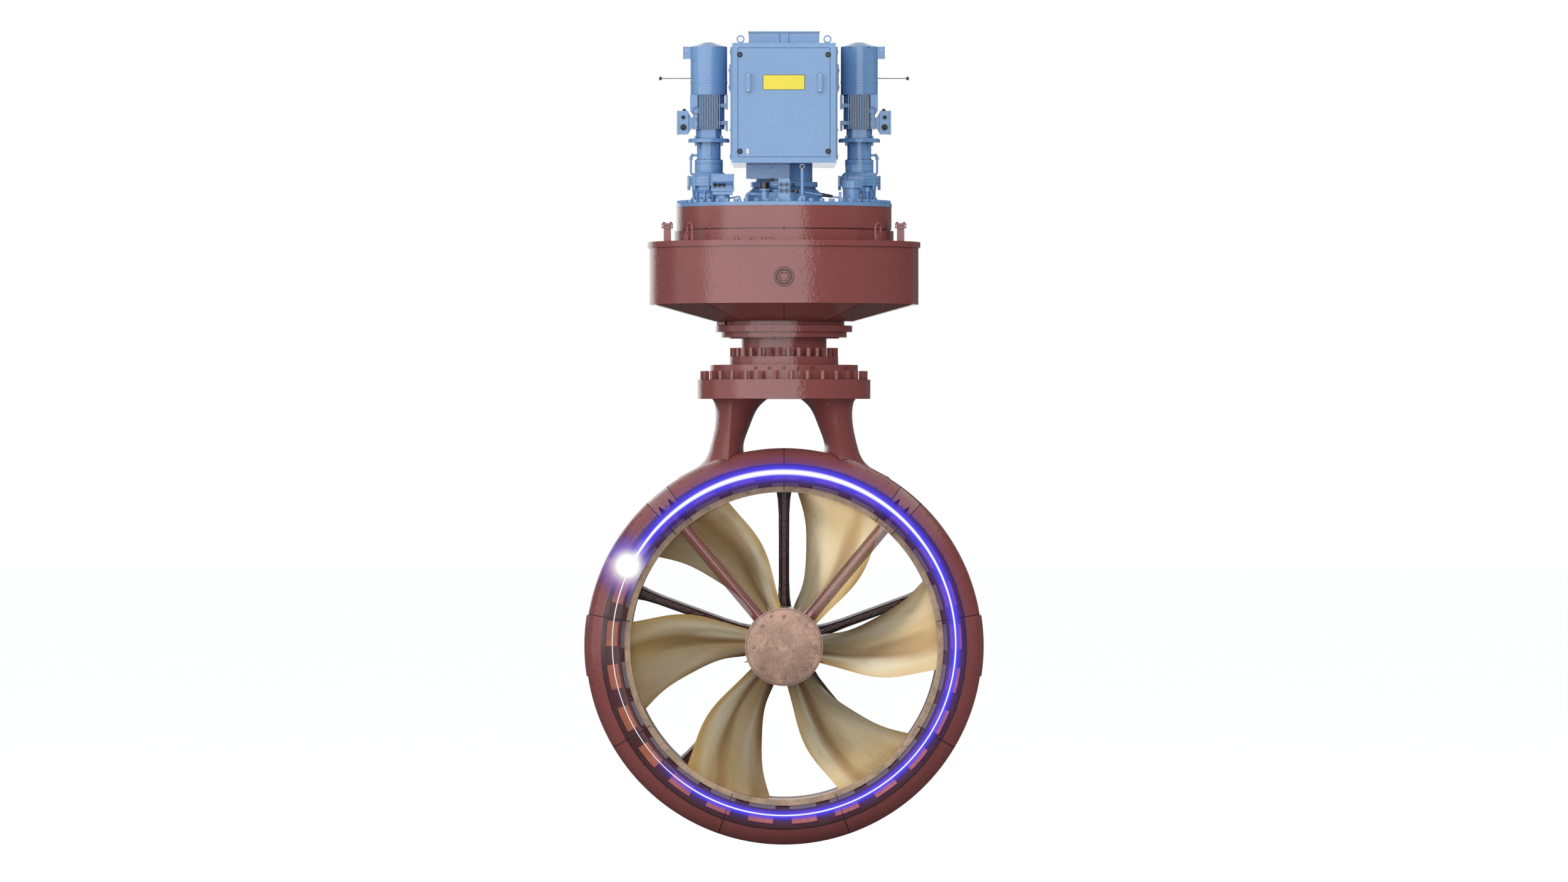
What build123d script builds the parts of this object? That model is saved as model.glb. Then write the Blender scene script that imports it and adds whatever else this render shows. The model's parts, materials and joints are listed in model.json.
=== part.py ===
import os
from math import acos, cos, degrees, pi, radians, sin, sqrt, tan

from build123d import *

os.makedirs("parts", exist_ok=True)

# Rim-drive azimuth thruster. Millimetres, +Z up, the steering axis is Z.
# The origin is on the steering axis, at the underside of the hull flange.
# The propeller shaft runs along Y and the water inlet of the nozzle faces -Y.

# Clearances between pieces that move against each other
moving_gap = 0.3
running_gap = 0.05
UP = (Align.CENTER, Align.CENTER, Align.MIN)
DOWN = (Align.CENTER, Align.CENTER, Align.MAX)
sides = {"left": -1, "right": 1}

# Hull unit
tank_r = 837.0
hull_flange_lip = 12.0
hull_flange_t = 36.0
tank_h = 351.0
tank_wall = 25.0
cone_sides = 10
cone_inset = 4.0
cone_h = 104.0
cone_foot_r = 443.0
neck_ring_r = 376.0
neck_ring_h = 27.0
tank_plug_r = 59.0
tank_plug_z = -191.0

# Gear housing and its cover plate
collar_r = 682.0
collar_h = 69.0
housing_r = 669.0
housing_h = 147.0
housing_wall = 46.0
seam_t = 8.5
seam_depth = 7.0
cover_r = 671.0
cover_t = 23.0
cover_bolt_count = 60
cover_bolt_circle_r = 647.0
cover_bolt_width = 30.0
cover_bolt_h = 19.0

# Stem seals and lower bearing
seal_flange_r = 425.0
seal_flange_t = 39.0
lower_flange_r = 391.0
lower_flange_t = 34.0
seal_lip_r = 343.0
seal_lip_t = 7.0
bush_wall = 30.0
bush_h = 150.0
seal_gap = 12.0
seal_ring_count = 3
seal_ring_low = 8.0
seal_ring_t = 10.0
seal_ring_pitch = 18.0

# Steering stem and the flanged joints under it
stem_r = 265.0
stem_bore_r = 205.0
stem_exposed_h = 111.5
stem_flange_r = 338.0
stem_flange_t = 52.5
adapter_r = 460.0
adapter_t = 91.0
pylon_flange_r = 538.0
adapter_foot_t = 42.0
pylon_flange_t = 77.0
joint_bolt_count = 32
joint_bolt_width = 29.0
joint_bolt_h = 53.5
joint_bolt_turn = 5.625
stem_bolt_circle_r = 320.0
pylon_bolt_circle_r = 505.0

# Steering gears
gear_module = 12.0
ring_teeth = 65
pinion_teeth = 13
pressure_angle = 20.0
ring_addendum = 0.8
backlash = 0.8
ring_gear_w = 100.0
pinion_w = 112.0
pinion_drop = 4.0
pinion_shaft_r = 42.0
pinion_port_gap = 28.0
slew_r = 330.0
slew_outer_r = 368.0
slew_inner_r = 296.0
slew_h = 55.0
slew_clearance = 5.0
column_base_r = 290.0
column_base_t = 20.0

# Nozzle, measured about the propeller axis
nozzle_z = -2469.5
nozzle_r = 1228.0
nozzle_l = 790.0
nozzle_wall = 273.0
band_depth = 97.0
lip_depth = 188.0
lip_setback = 65.0
nose_l = 245.0
tail_setback = 295.0
tail_depth = 153.0
motor_l = 300.0
seam_w = 3.0
seam_angles = [0.0, 36.2, 43.8, 80.6, 120.6, 160.6, 199.4, 239.4, 279.4, 316.2, 323.8, 360.0]
block_starts = [36.2, 316.2]

# Rim motor
rotor_l = 260.0
rotor_ring_t = 35.0
magnet_count = 25
magnet_t = 24.0
magnet_arc = 9.4
magnet_l = 232.0
air_gap = 12.0
stator_l = 220.0
coil_count = 25
coil_slot_depth = 11.0
coil_back_depth = 27.0
coil_arc = 8.2
coil_l = 250.0
coil_start = -114.7

# Propeller and hub
blade_count = 6
blade_phase = 30.0
blade_pitch = 1900.0
hub_r = 242.0
hub_bore_r = 140.0
axle_r = 110.0
axle_seat_l = 150.0
bearing_l = 90.0
blade_spans = [0.0, 0.12, 0.31, 0.59, 0.78, 1.0]
blade_skews = [5.4, 4.6, 3.6, -0.2, -3.8, -8.2]
blade_half_arcs = [20.7, 18.1, 17.2, 17.9, 16.8, 16.7]
blade_thicknesses = [74.0, 56.0, 46.0, 38.0, 31.0, 27.0]

# Struts and hubs that carry the propeller
front_strut_angles = [-40.0, 40.0]
front_strut_w = 82.0
front_strut_chord = 130.0
rear_strut_angles = [0.0, 70.0, 140.0, 220.0, 290.0]
rear_strut_w = 62.0
rear_strut_flare = 1.55
rear_strut_chord = 150.0
strut_offset_y = 285.0
valley_depth = 54.0
valley_near = 6.0
valley_mid = 38.0
valley_far = 68.0
hub_gap = 5.0
rear_hub_r = 205.0
cap_r = 238.0
cap_rim_t = 12.0
cap_rise = 16.0
cap_bolt_circle_r = 190.0
cap_bolt_count = 8
cap_bolt_r = 9.0
cap_bolt_h = 11.0
cutter_count = 8
cutter_reach = 27.0
cutter_sink = 8.0
cutter_w = 12.0
cutter_l = 44.0
cutter_tip_w = 1.5
cutter_tip_l = 26.0

# Pylon legs, from the flange down to the nozzle
leg_fractions = [-0.03, 0.095, 0.36, 0.73, 1.0, 1.2, 1.4, 1.62]
leg_inner = [89.0, 137.0, 190.0, 234.0, 251.0, 238.0, 215.0, 190.0]
leg_outer = [458.0, 432.0, 425.0, 440.0, 460.0, 484.0, 545.0, 660.0]
leg_half_chord = [300.0, 282.0, 268.0, 262.0, 270.0, 290.0, 315.0, 335.0]
leg_ridge = 320.0

# Slip-ring cabinet
cabinet_w = 632.0
cabinet_d = 1080.0
cabinet_foot = 516.0
cabinet_h = 734.0
sheet_t = 5.0
front_lip = 26.0
door_w = 637.0
door_h = 738.0
door_t = 30.0
side_panel_t = 14.0
side_panel_edge_y = 30.0
side_panel_edge_z = 20.0
side_boss_t = 10.0
side_boss_w = 300.0
side_boss_h = 168.0
side_boss_rise = 170.0
lock_x = 272.0
lock_low = 70.0
lock_high = 665.0
lock_head_r = 12.0
lock_head_t = 7.0
lock_shaft_r = 7.0
handle_x = 221.0
handle_mid = 491.0
handle_l = 112.0
handle_w = 26.0
handle_h = 32.0
hood_w = 436.0
hood_d = 620.0
hood_h = 85.0
hood_lid_t = 9.0
hood_gap = 4.0
hood_inset = 5.0
hood_eaves = 4.0
eye_x = 268.0
eye_y = 455.0
eye_out_r = 25.0
eye_in_r = 16.0
eye_t = 16.0
neck_r = 177.0
neck_bore_r = 130.0
neck_disc_r = 209.0
neck_foot_r = 238.0
column_r = 60.0
slip_ring_r = 105.0
slip_ring_count = 8
slip_ring_t = 24.0
slip_ring_pitch = 52.0

# Steering motors with their gearboxes
gearbox_foot_r = 93.0
gearbox_foot_h = 110.0
gearbox_rib_count = 12
gearbox_rib_t = 8.0
gearbox_rib_reach = 104.0
gearbox_stud_r = 7.0
gearbox_collar_r = 105.0
gearbox_case_r = 130.0
gearbox_case_h = 59.0
gearbox_cone_h = 26.0
gearbox_shoulder = 18.0
gearbox_drum_r = 88.5
gearbox_drum_h = 78.0
gearbox_bolt_count = 8
gearbox_bolt_inset = 6.5
gearbox_bolt_r = 9.0
gearbox_bolt_l = 24.0
groove_w = 2.5
groove_depth = 1.5
lantern_r = 74.5
lantern_h = 108.0
gusset_t = 7.0
gusset_reach = 15.0
gusset_h = 66.0
hand_cover_w = 26.0
hand_cover_h = 72.0
hand_cover_t = 3.0
motor_flange_r = 129.0
motor_flange_t = 24.0
motor_flange_bevel = 4.0
flange_bolt_circle_r = 113.0
flange_bolt_r = 8.0
flange_bolt_h = 16.0
shield_h = 58.0
shield_core_r = 80.0
shield_face_w = 88.0
shield_rib_low = 98.0
shield_rib_high = 72.0
shield_rib_t = 8.0
frame_r = 98.0
frame_h = 214.0
frame_flat = 80.0
fin_count = 13
fin_pitch = 10.5
fin_t = 4.6
fin_shift = 4.0
rail_w = 26.0
rail_d = 168.0
casing_w = 47.0
casing_d = 196.0
casing_h = 116.0
casing_bevel = 20.0
foot_web_h = 24.0
foot_web_d = 44.0
foot_pad_t = 15.0
foot_pad_reach = 119.0
foot_pad_d = 52.0
foot_pad_heights = [(50.0, 110.0), (184.0, 272.0)]
foot_web_heights = [85.0, 193.0]
foot_y = 58.0
cowl_r = 115.0
cowl_h = 300.0
cowl_wall = 4.0
cowl_crown_h = 27.0
cowl_crown_r = 30.0
cowl_bead_z = 70.0
cowl_bead_h = 17.0
cowl_bead_t = 1.5
lever_slot_w = 16.0
lever_slot_h = 44.0
lever_z = 1056.0
lever_r = 3.5
lever_reach = 293.0
lever_knob_r = 10.0
lever_knob_l = 15.0
lever_pivot_x = 38.0
lever_boss_r = 11.0
lever_boss_w = 16.0
lever_pin_r = 4.0
lever_cheek_t = 6.0
lever_seat = 6.0
brake_r = 84.0

# Terminal boxes, measured outwards from the motor's axis
terminal_low = 707.0
terminal_w = 71.0
terminal_h = 145.0
terminal_d = 120.0
terminal_face = 126.0
terminal_lid_t = 12.0
terminal_lid_lip = 2.0
terminal_funnel_w = 18.0
terminal_funnel_low = 742.0
terminal_funnel_high = 812.0
terminal_neck_in = 90.0
terminal_neck_d = 100.0
fan_box_w = 40.0
fan_box_d = 70.0
fan_box_h = 75.0
fan_box_lid_t = 8.0

# Deck fittings on the cover plate
fitting_y = -578.0
manifold_w = 70.0
manifold_d = 60.0
manifold_h = 141.0
port_pitch_x = 34.0
port_pitch_z = 37.0
port_rise = 85.0
port_r = 14.0
port_bore_r = 5.0
port_boss_h = 4.0
port_depth = 10.0
union_r = 8.0
union_l = 22.0
dipstick_x = 112.0
dipstick_y = -590.0
dipstick_tube_r = 10.0
dipstick_tube_h = 193.0
dipstick_base_w = 36.0
dipstick_base_h = 33.0
dipstick_cap_r = 9.0
dipstick_cap_h = 6.0
dipstick_r = 4.0
dipstick_ring_r = 16.0
dipstick_wire_r = 3.0
junction_x = -378.0
junction_y = -370.0
junction_post_r = 43.0
junction_post_h = 46.0
junction_base_w = 124.0
junction_base_h = 23.0
junction_rim_w = 143.0
junction_rim_h = 16.0
junction_front = 58.0
junction_recess = 36.0
junction_sill_h = 16.0
junction_slope_h = 27.0
junction_h = 89.0
junction_cheek_t = 8.0
filter_x = 422.0
filter_y = -300.0
filter_body_r = 47.0
filter_body_h = 90.0
filter_head_r = 64.0
filter_head_h = 42.0
filter_bolt_circle_r = 52.0
filter_bolt_count = 8
breather_x = -119.0
breather_tube_r = 20.0
breather_tube_h = 68.0
breather_flange_r = 33.0
breather_flange_h = 9.0
breather_neck_h = 7.0
breather_head_r = 29.0
breather_head_h = 34.0
vent_pipe_x = 111.0
vent_pipe_r = 6.8
vent_pipe_nut_r = 12.0
vent_pipe_rise = 78.0
oil_pipe_r = 5.0
drain_pipe_r = 6.0
test_post_x = 346.0
test_post_y = -480.0
test_post_w = 18.0
test_post_h = 63.0

# Lifting rings and vent pipes on the hull flange
lifting_angle = 49.3
lifting_inset = 85.0
lifting_w = 64.0
lifting_h = 113.0
lifting_bar_r = 8.0
vent_inset = 127.0
vent_y = -228.0
vent_column_w = 45.0
vent_h = 114.0
vent_head_w = 70.0
vent_head_t = 14.0

# Places on the hull flange
hull_flange_r = tank_r + hull_flange_lip
lifting_circle_r = hull_flange_r - lifting_inset
vent_x = hull_flange_r - vent_inset

# Heights along the steering axis, worked out from the sizes above
flange_top = hull_flange_t
collar_top = flange_top + collar_h
housing_top = collar_top + housing_h
cover_top = housing_top + cover_t
housing_bore_r = housing_r - housing_wall
cone_top = -tank_h
cone_foot = cone_top - cone_h
neck_foot = cone_foot - neck_ring_h
seal_flange_foot = neck_foot - seal_flange_t
lower_flange_foot = seal_flange_foot - lower_flange_t
lip_foot = lower_flange_foot - seal_lip_t
trunk_bore_r = stem_r + running_gap + bush_wall
bush_r = trunk_bore_r - bush_wall
stem_flange_top = lip_foot - stem_exposed_h
stem_foot = stem_flange_top - stem_flange_t
adapter_shoulder = stem_foot - adapter_t
adapter_foot = adapter_shoulder - adapter_foot_t
pylon_flange_foot = adapter_foot - pylon_flange_t
gear_low = flange_top + slew_h + slew_clearance
gear_high = gear_low + ring_gear_w
column_base_top = gear_high + column_base_t
ring_pitch_r = gear_module * ring_teeth / 2
pinion_pitch_r = gear_module * pinion_teeth / 2
motor_x = ring_pitch_r + pinion_pitch_r
pinion_tip_r = pinion_pitch_r + gear_module
pinion_port_r = pinion_shaft_r + pinion_port_gap

# Places along the propeller axis and radii of the rim motor
nose_y = -nozzle_l / 2
nose_back_y = nose_y + nose_l
tail_y = nozzle_l / 2
duct_r = nozzle_r - nozzle_wall
band_r = nozzle_r - band_depth
lip_r = nozzle_r - lip_depth
tail_r = nozzle_r - tail_depth
rotor_ring_r = duct_r + rotor_ring_t
magnet_r = rotor_ring_r + magnet_t
stator_bore_r = magnet_r + air_gap
coil_low_r = stator_bore_r + coil_slot_depth
coil_high_r = band_r - coil_back_depth
hub_l = rotor_l
hub_seat_y = hub_l / 2 + hub_gap
cap_y = nose_y + cap_rise
cap_dome_r = (cap_r**2 + cap_rise**2) / (2 * cap_rise)
nozzle_axis = Axis((0, 0, nozzle_z), (0, 1, 0))
nozzle_centre = Location((0, 0, nozzle_z))


def radial_plane(angle):
    """Plane through the propeller axis: local x is the radius, local y is Y, clockwise from the top."""
    turn = radians(angle)
    return Plane(
        origin=(0, 0, nozzle_z),
        x_dir=(sin(turn), 0, cos(turn)),
        z_dir=(-cos(turn), 0, sin(turn)),
    )


def upright_plane(x, y=0.0, turn=0.0):
    """Vertical plane through a place: local x points outwards at the turn, local y is up."""
    return Plane(
        origin=(x, y, 0),
        x_dir=(cos(radians(turn)), sin(radians(turn)), 0),
        z_dir=(sin(radians(turn)), -cos(radians(turn)), 0),
    )


def around_nozzle(radius, angles, y=0.0):
    """Places on a circle about the propeller axis, with local z pointing outwards."""
    return [nozzle_centre * Location((0, 0, 0), (0, angle, 0)) * Location((0, y, radius)) for angle in angles]


def nose_profile(plane, r_low, r_high):
    """Section of the nozzle's rounded front ring between two radii."""
    with BuildSketch(plane) as section:
        with BuildLine():
            ThreePointArc((duct_r, nose_y + lip_setback), (duct_r + 25, nose_y + 19), (lip_r, nose_y))
            ThreePointArc((lip_r, nose_y), (lip_r + 132, nose_y + 62), (nozzle_r, nose_back_y))
            Polyline((nozzle_r, nose_back_y), (duct_r, nose_back_y), (duct_r, nose_y + lip_setback))
        make_face()
        with Locations(((r_low + r_high) / 2, 0)):
            Rectangle(r_high - r_low, nozzle_l + 10, mode=Mode.INTERSECT)
    return section.sketch


def shell_profile(plane, r_low):
    """Section of the nozzle behind the front ring, outside the radius r_low."""
    with BuildSketch(plane) as section:
        with BuildLine():
            Line((r_low, nose_back_y), (nozzle_r, nose_back_y))
            Line((nozzle_r, nose_back_y), (nozzle_r, tail_y - tail_setback))
            ThreePointArc(
                (nozzle_r, tail_y - tail_setback),
                ((nozzle_r + tail_r) / 2 + 28, tail_y - tail_setback / 2 + 6),
                (tail_r, tail_y),
            )
            Polyline((tail_r, tail_y), (r_low, tail_y), (r_low, nose_back_y))
        make_face()
    return section.sketch


def box_sketch(plane, low, high):
    """Rectangle in a radial plane, between two corners."""
    with BuildSketch(plane) as section:
        with Locations(((low[0] + high[0]) / 2, (low[1] + high[1]) / 2)):
            Rectangle(high[0] - low[0], high[1] - low[1])
    return section.sketch


def tooth_angle(pitch_r, radius):
    """Half angle of an involute tooth at a radius, about the gear's own axis."""
    base_r = pitch_r * cos(radians(pressure_angle))
    half_thickness = (pi * gear_module / 2 - backlash) / 2
    here = acos(min(base_r / max(radius, base_r), 1.0))
    at_pitch = radians(pressure_angle)
    return half_thickness / pitch_r + (tan(at_pitch) - at_pitch) - (tan(here) - here)


def gear_outline(pitch_r, teeth, radii):
    """Corner points of a gear, one tooth after the other, each flank through the given radii."""
    points = []
    for tooth in range(teeth):
        middle = 2 * pi * tooth / teeth
        for radius in radii:
            angle = middle - tooth_angle(pitch_r, radius)
            points.append((radius * cos(angle), radius * sin(angle)))
        for radius in reversed(radii):
            angle = middle + tooth_angle(pitch_r, radius)
            points.append((radius * cos(angle), radius * sin(angle)))
    return points


# Hull unit: drum with the ten-sided bottom, the flange and the stem trunk
with BuildPart() as tank:
    Cylinder(hull_flange_r, hull_flange_t, align=UP)
    Cylinder(tank_r, tank_h, align=DOWN)
    with BuildSketch(Plane.XY.offset(cone_top)):
        RegularPolygon(tank_r - cone_inset, cone_sides, rotation=180 / cone_sides)
    with BuildSketch(Plane.XY.offset(cone_foot)):
        RegularPolygon(cone_foot_r, cone_sides, rotation=180 / cone_sides)
    loft()
    with BuildSketch(Plane.XZ):
        with BuildLine():
            Polyline(
                (trunk_bore_r + tank_wall, -tank_wall),
                (tank_r - tank_wall, -tank_wall),
                (tank_r - tank_wall, cone_top + tank_wall),
                (trunk_bore_r + tank_wall, cone_top + tank_wall),
                close=True,
            )
        make_face()
    revolve(axis=Axis.Z, mode=Mode.SUBTRACT)
    with Locations((0, 0, cone_foot)):
        Cylinder(neck_ring_r, neck_ring_h, align=DOWN)
    with Locations((0, 0, neck_foot)):
        Cylinder(trunk_bore_r, flange_top - neck_foot, align=UP, mode=Mode.SUBTRACT)
tank.part.label = "tank"
export_step(tank.part, "parts/tank.step")

# Drain plug on the front of the drum: outer ring, recess and socket
with BuildPart() as tank_plug:
    with BuildSketch(Plane.XZ.offset(tank_r - 3)):
        with Locations((0, tank_plug_z)):
            Circle(tank_plug_r)
    extrude(amount=9)
    with BuildSketch(Plane.XZ.offset(tank_r + 6)):
        with Locations((0, tank_plug_z)):
            Circle(tank_plug_r * 0.82)
            Circle(tank_plug_r * 0.66, mode=Mode.SUBTRACT)
    extrude(amount=-4, mode=Mode.SUBTRACT)
    with BuildSketch(Plane.XZ.offset(tank_r + 6)):
        with Locations((0, tank_plug_z)):
            RegularPolygon(tank_plug_r * 0.5, 6)
    extrude(amount=-7, mode=Mode.SUBTRACT)
    Cylinder(tank_r, tank_h, align=DOWN, mode=Mode.SUBTRACT)
tank_plug.part.label = "tank_plug"
export_step(tank_plug.part, "parts/tank_plug.step")

# Gear housing, open below on the hull flange and above under the cover plate
with BuildPart() as gear_housing:
    with BuildSketch(Plane.XZ):
        with BuildLine():
            Polyline(
                (housing_bore_r, flange_top),
                (collar_r, flange_top),
                (collar_r, collar_top),
                (housing_r - seam_depth, collar_top),
                (housing_r - seam_depth, collar_top + seam_t),
                (housing_r, collar_top + seam_t),
                (housing_r, housing_top),
                (housing_bore_r, housing_top),
                close=True,
            )
        make_face()
    revolve(axis=Axis.Z)
gear_housing.part.label = "gear_housing"
export_step(gear_housing.part, "parts/gear_housing.step")

# Cover plate with the ports of the two pinions and of the slip-ring column
with BuildPart() as top_cover:
    with Locations((0, 0, housing_top)):
        Cylinder(cover_r, cover_t, align=UP)
        Cylinder(neck_bore_r, cover_t, align=UP, mode=Mode.SUBTRACT)
    with Locations((-motor_x, 0, housing_top), (motor_x, 0, housing_top)):
        Cylinder(pinion_port_r, cover_t, align=UP, mode=Mode.SUBTRACT)
top_cover.part.label = "top_cover"
export_step(top_cover.part, "parts/top_cover.step")

with BuildPart() as cover_bolts:
    with BuildSketch(Plane.XY.offset(cover_top)):
        with PolarLocations(cover_bolt_circle_r, cover_bolt_count, start_angle=180 / cover_bolt_count):
            RegularPolygon(cover_bolt_width / 2, 6, major_radius=False)
    extrude(amount=cover_bolt_h)
cover_bolts.part.label = "cover_bolts"
export_step(cover_bolts.part, "parts/cover_bolts.step")

# Seal housing: two bolted flanges and the lip under them, with grooves for the seal rings
seal_bore_r = stem_r + seal_gap
with BuildPart() as seal_housing:
    with BuildSketch(Plane.XZ):
        with BuildLine():
            Polyline(
                (seal_bore_r, neck_foot),
                (seal_flange_r, neck_foot),
                (seal_flange_r, seal_flange_foot),
                (lower_flange_r, seal_flange_foot),
                (lower_flange_r, lower_flange_foot),
                (seal_lip_r, lower_flange_foot),
                (seal_lip_r, lip_foot),
                (seal_bore_r, lip_foot),
                close=True,
            )
        make_face()
    revolve(axis=Axis.Z)
seal_housing.part.label = "seal_housing"
export_step(seal_housing.part, "parts/seal_housing.step")

with BuildPart() as seal_rings:
    with BuildSketch(Plane.XZ):
        for index in range(seal_ring_count):
            z_low = lip_foot + seal_ring_low + index * seal_ring_pitch
            with Locations(((stem_r + moving_gap + seal_bore_r) / 2, z_low + seal_ring_t / 2)):
                Rectangle(seal_bore_r - stem_r - moving_gap, seal_ring_t)
    revolve(axis=Axis.Z)
seal_rings.part.label = "seal_rings"
export_step(seal_rings.part, "parts/seal_rings.step")

with BuildPart() as lower_bearing:
    with Locations((0, 0, neck_foot)):
        Cylinder(trunk_bore_r, bush_h, align=UP)
        Cylinder(bush_r, bush_h, align=UP, mode=Mode.SUBTRACT)
lower_bearing.part.label = "lower_bearing"
export_step(lower_bearing.part, "parts/lower_bearing.step")

with BuildPart() as slewing_ring:
    with Locations((0, 0, flange_top)):
        Cylinder(slew_outer_r, slew_h, align=UP)
        Cylinder(slew_r + running_gap, slew_h, align=UP, mode=Mode.SUBTRACT)
slewing_ring.part.label = "slewing_ring"
export_step(slewing_ring.part, "parts/slewing_ring.step")

# Two vent pipes with bolted square heads on the hull flange
with BuildPart() as vent_pipes:
    for side in sides.values():
        with Locations((side * vent_x, vent_y, flange_top)):
            Box(vent_column_w, vent_column_w, vent_h, align=UP)
            with Locations((0, 0, vent_h - 2 * vent_head_t - 4)):
                Box(vent_head_w, vent_head_w, vent_head_t, align=UP)
            with Locations((0, 0, vent_h - vent_head_t)):
                Box(vent_head_w, vent_head_w, vent_head_t, align=UP)
            with Locations((0, 0, vent_h)):
                with GridLocations(vent_head_w * 0.6, vent_head_w * 0.6, 2, 2):
                    Cylinder(7, 8, align=UP)
vent_pipes.part.label = "vent_pipes"
export_step(vent_pipes.part, "parts/vent_pipes.step")

# Four lifting rings: a forged bail that stands on the flange and the curved tongue beside its foot
lifting_angles = [270 - lifting_angle, 270 + lifting_angle, 90 - lifting_angle, 90 + lifting_angle]
bail_half = lifting_w / 2 - lifting_bar_r
with BuildPart() as lifting_rings:
    for angle in lifting_angles:
        turn = radians(angle)
        foot = Plane(
            origin=(lifting_circle_r * cos(turn), lifting_circle_r * sin(turn), flange_top),
            x_dir=(-sin(turn), cos(turn), 0),
            z_dir=(cos(turn), sin(turn), 0),
        )
        top = lifting_h - lifting_bar_r - bail_half
        with BuildLine(foot):
            Line((-bail_half, 0), (-bail_half, top))
            ThreePointArc((-bail_half, top), (0, top + bail_half), (bail_half, top))
            Line((bail_half, top), (bail_half, 0))
        with BuildSketch(Plane(origin=foot.from_local_coords((-bail_half, 0, 0)), z_dir=(0, 0, 1))):
            RegularPolygon(lifting_bar_r, 8)
        sweep()
        with BuildSketch(foot.offset(lifting_bar_r)):
            with BuildLine():
                Line((-bail_half - 14, 0), (bail_half * 0.3, 0))
                RadiusArc((bail_half * 0.3, 0), (-bail_half * 0.2, lifting_h * 0.44), -60)
                Line((-bail_half * 0.2, lifting_h * 0.44), (-bail_half - 6, lifting_h * 0.36))
                Line((-bail_half - 6, lifting_h * 0.36), (-bail_half - 14, 0))
            make_face()
        extrude(amount=14)
lifting_rings.part.label = "lifting_rings"
export_step(lifting_rings.part, "parts/lifting_rings.step")

# Steering stem: a tube with the flange that carries everything below the hull
with BuildPart() as stem:
    with BuildSketch(Plane.XZ):
        with BuildLine():
            Polyline(
                (stem_bore_r, stem_foot),
                (stem_flange_r, stem_foot),
                (stem_flange_r, stem_flange_top),
                (stem_r, stem_flange_top),
                (stem_r, gear_high),
                (stem_bore_r, gear_high),
                close=True,
            )
        make_face()
    revolve(axis=Axis.Z)
stem.part.label = "stem"
export_step(stem.part, "parts/stem.step")

# Ring gear with the inner race of the slewing ring under it
ring_tip_r = ring_pitch_r + ring_addendum * gear_module
ring_root_r = ring_pitch_r - 1.25 * gear_module
with BuildPart() as ring_gear:
    with BuildSketch(Plane.XY.offset(gear_low)):
        with BuildLine():
            flank_radii = [ring_root_r, (ring_root_r + ring_tip_r) / 2, ring_tip_r]
            Polyline(*gear_outline(ring_pitch_r, ring_teeth, flank_radii), close=True)
        make_face()
        Circle(stem_r, mode=Mode.SUBTRACT)
    extrude(amount=ring_gear_w)
    with BuildSketch(Plane.XY.offset(gear_low)):
        Circle(slew_r)
        Circle(slew_inner_r, mode=Mode.SUBTRACT)
    extrude(amount=-slew_h)
ring_gear.part.label = "ring_gear"
export_step(ring_gear.part, "parts/ring_gear.step")

# Two steering pinions, each with its shaft up into the gearbox
pinion_low = gear_low - pinion_drop
pinion_shaft_top = cover_top + gearbox_foot_h - 10
pinion_root_r = pinion_pitch_r - 1.25 * gear_module
pinion_base_r = pinion_pitch_r * cos(radians(pressure_angle))
for name, side in sides.items():
    with BuildPart() as pinion:
        with BuildSketch(Plane.XY.offset(pinion_low)):
            with BuildLine():
                flank_radii = [pinion_root_r, pinion_base_r, pinion_pitch_r + 3, pinion_tip_r]
                Polyline(*gear_outline(pinion_pitch_r, pinion_teeth, flank_radii), close=True)
            make_face()
        extrude(amount=pinion_w)
        with Locations((0, 0, pinion_low + pinion_w)):
            Cylinder(pinion_shaft_r, pinion_shaft_top - pinion_low - pinion_w, align=UP)
    placed = Pos(side * motor_x, 0, 0) * pinion.part
    placed.label = f"pinion_{name}"
    export_step(placed, f"parts/pinion_{name}.step")

# Slip-ring column, turned by the stem, with one ring for each phase and signal
column_top = cabinet_foot + cabinet_h - 110
with BuildPart() as slip_ring_column:
    with Locations((0, 0, gear_high)):
        Cylinder(column_base_r, column_base_t, align=UP)
    with Locations((0, 0, column_base_top)):
        Cylinder(column_r, column_top - column_base_top, align=UP)
    for index in range(slip_ring_count):
        with Locations((0, 0, column_top - 30 - index * slip_ring_pitch)):
            Cylinder(slip_ring_r, slip_ring_t, align=DOWN)
slip_ring_column.part.label = "slip_ring_column"
export_step(slip_ring_column.part, "parts/slip_ring_column.step")

# Hexagon bolts of the two flanged joints
with BuildPart() as stem_bolts:
    with BuildSketch(Plane.XY.offset(stem_flange_top)):
        with PolarLocations(stem_bolt_circle_r, joint_bolt_count, start_angle=joint_bolt_turn):
            RegularPolygon(joint_bolt_width / 2, 6, major_radius=False)
    extrude(amount=joint_bolt_h)
stem_bolts.part.label = "stem_bolts"
export_step(stem_bolts.part, "parts/stem_bolts.step")

with BuildPart() as pylon_bolts:
    with BuildSketch(Plane.XY.offset(adapter_shoulder)):
        with PolarLocations(pylon_bolt_circle_r, joint_bolt_count, start_angle=joint_bolt_turn):
            RegularPolygon(joint_bolt_width / 2, 6, major_radius=False)
    extrude(amount=joint_bolt_h)
pylon_bolts.part.label = "pylon_bolts"
export_step(pylon_bolts.part, "parts/pylon_bolts.step")

with BuildPart() as adapter_ring:
    with BuildSketch(Plane.XZ):
        with BuildLine():
            Polyline(
                (stem_bore_r, stem_foot),
                (adapter_r, stem_foot),
                (adapter_r, adapter_shoulder),
                (pylon_flange_r, adapter_shoulder),
                (pylon_flange_r, adapter_foot),
                (stem_bore_r, adapter_foot),
                close=True,
            )
        make_face()
    revolve(axis=Axis.Z)
adapter_ring.part.label = "adapter_ring"
export_step(adapter_ring.part, "parts/adapter_ring.step")

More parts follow.
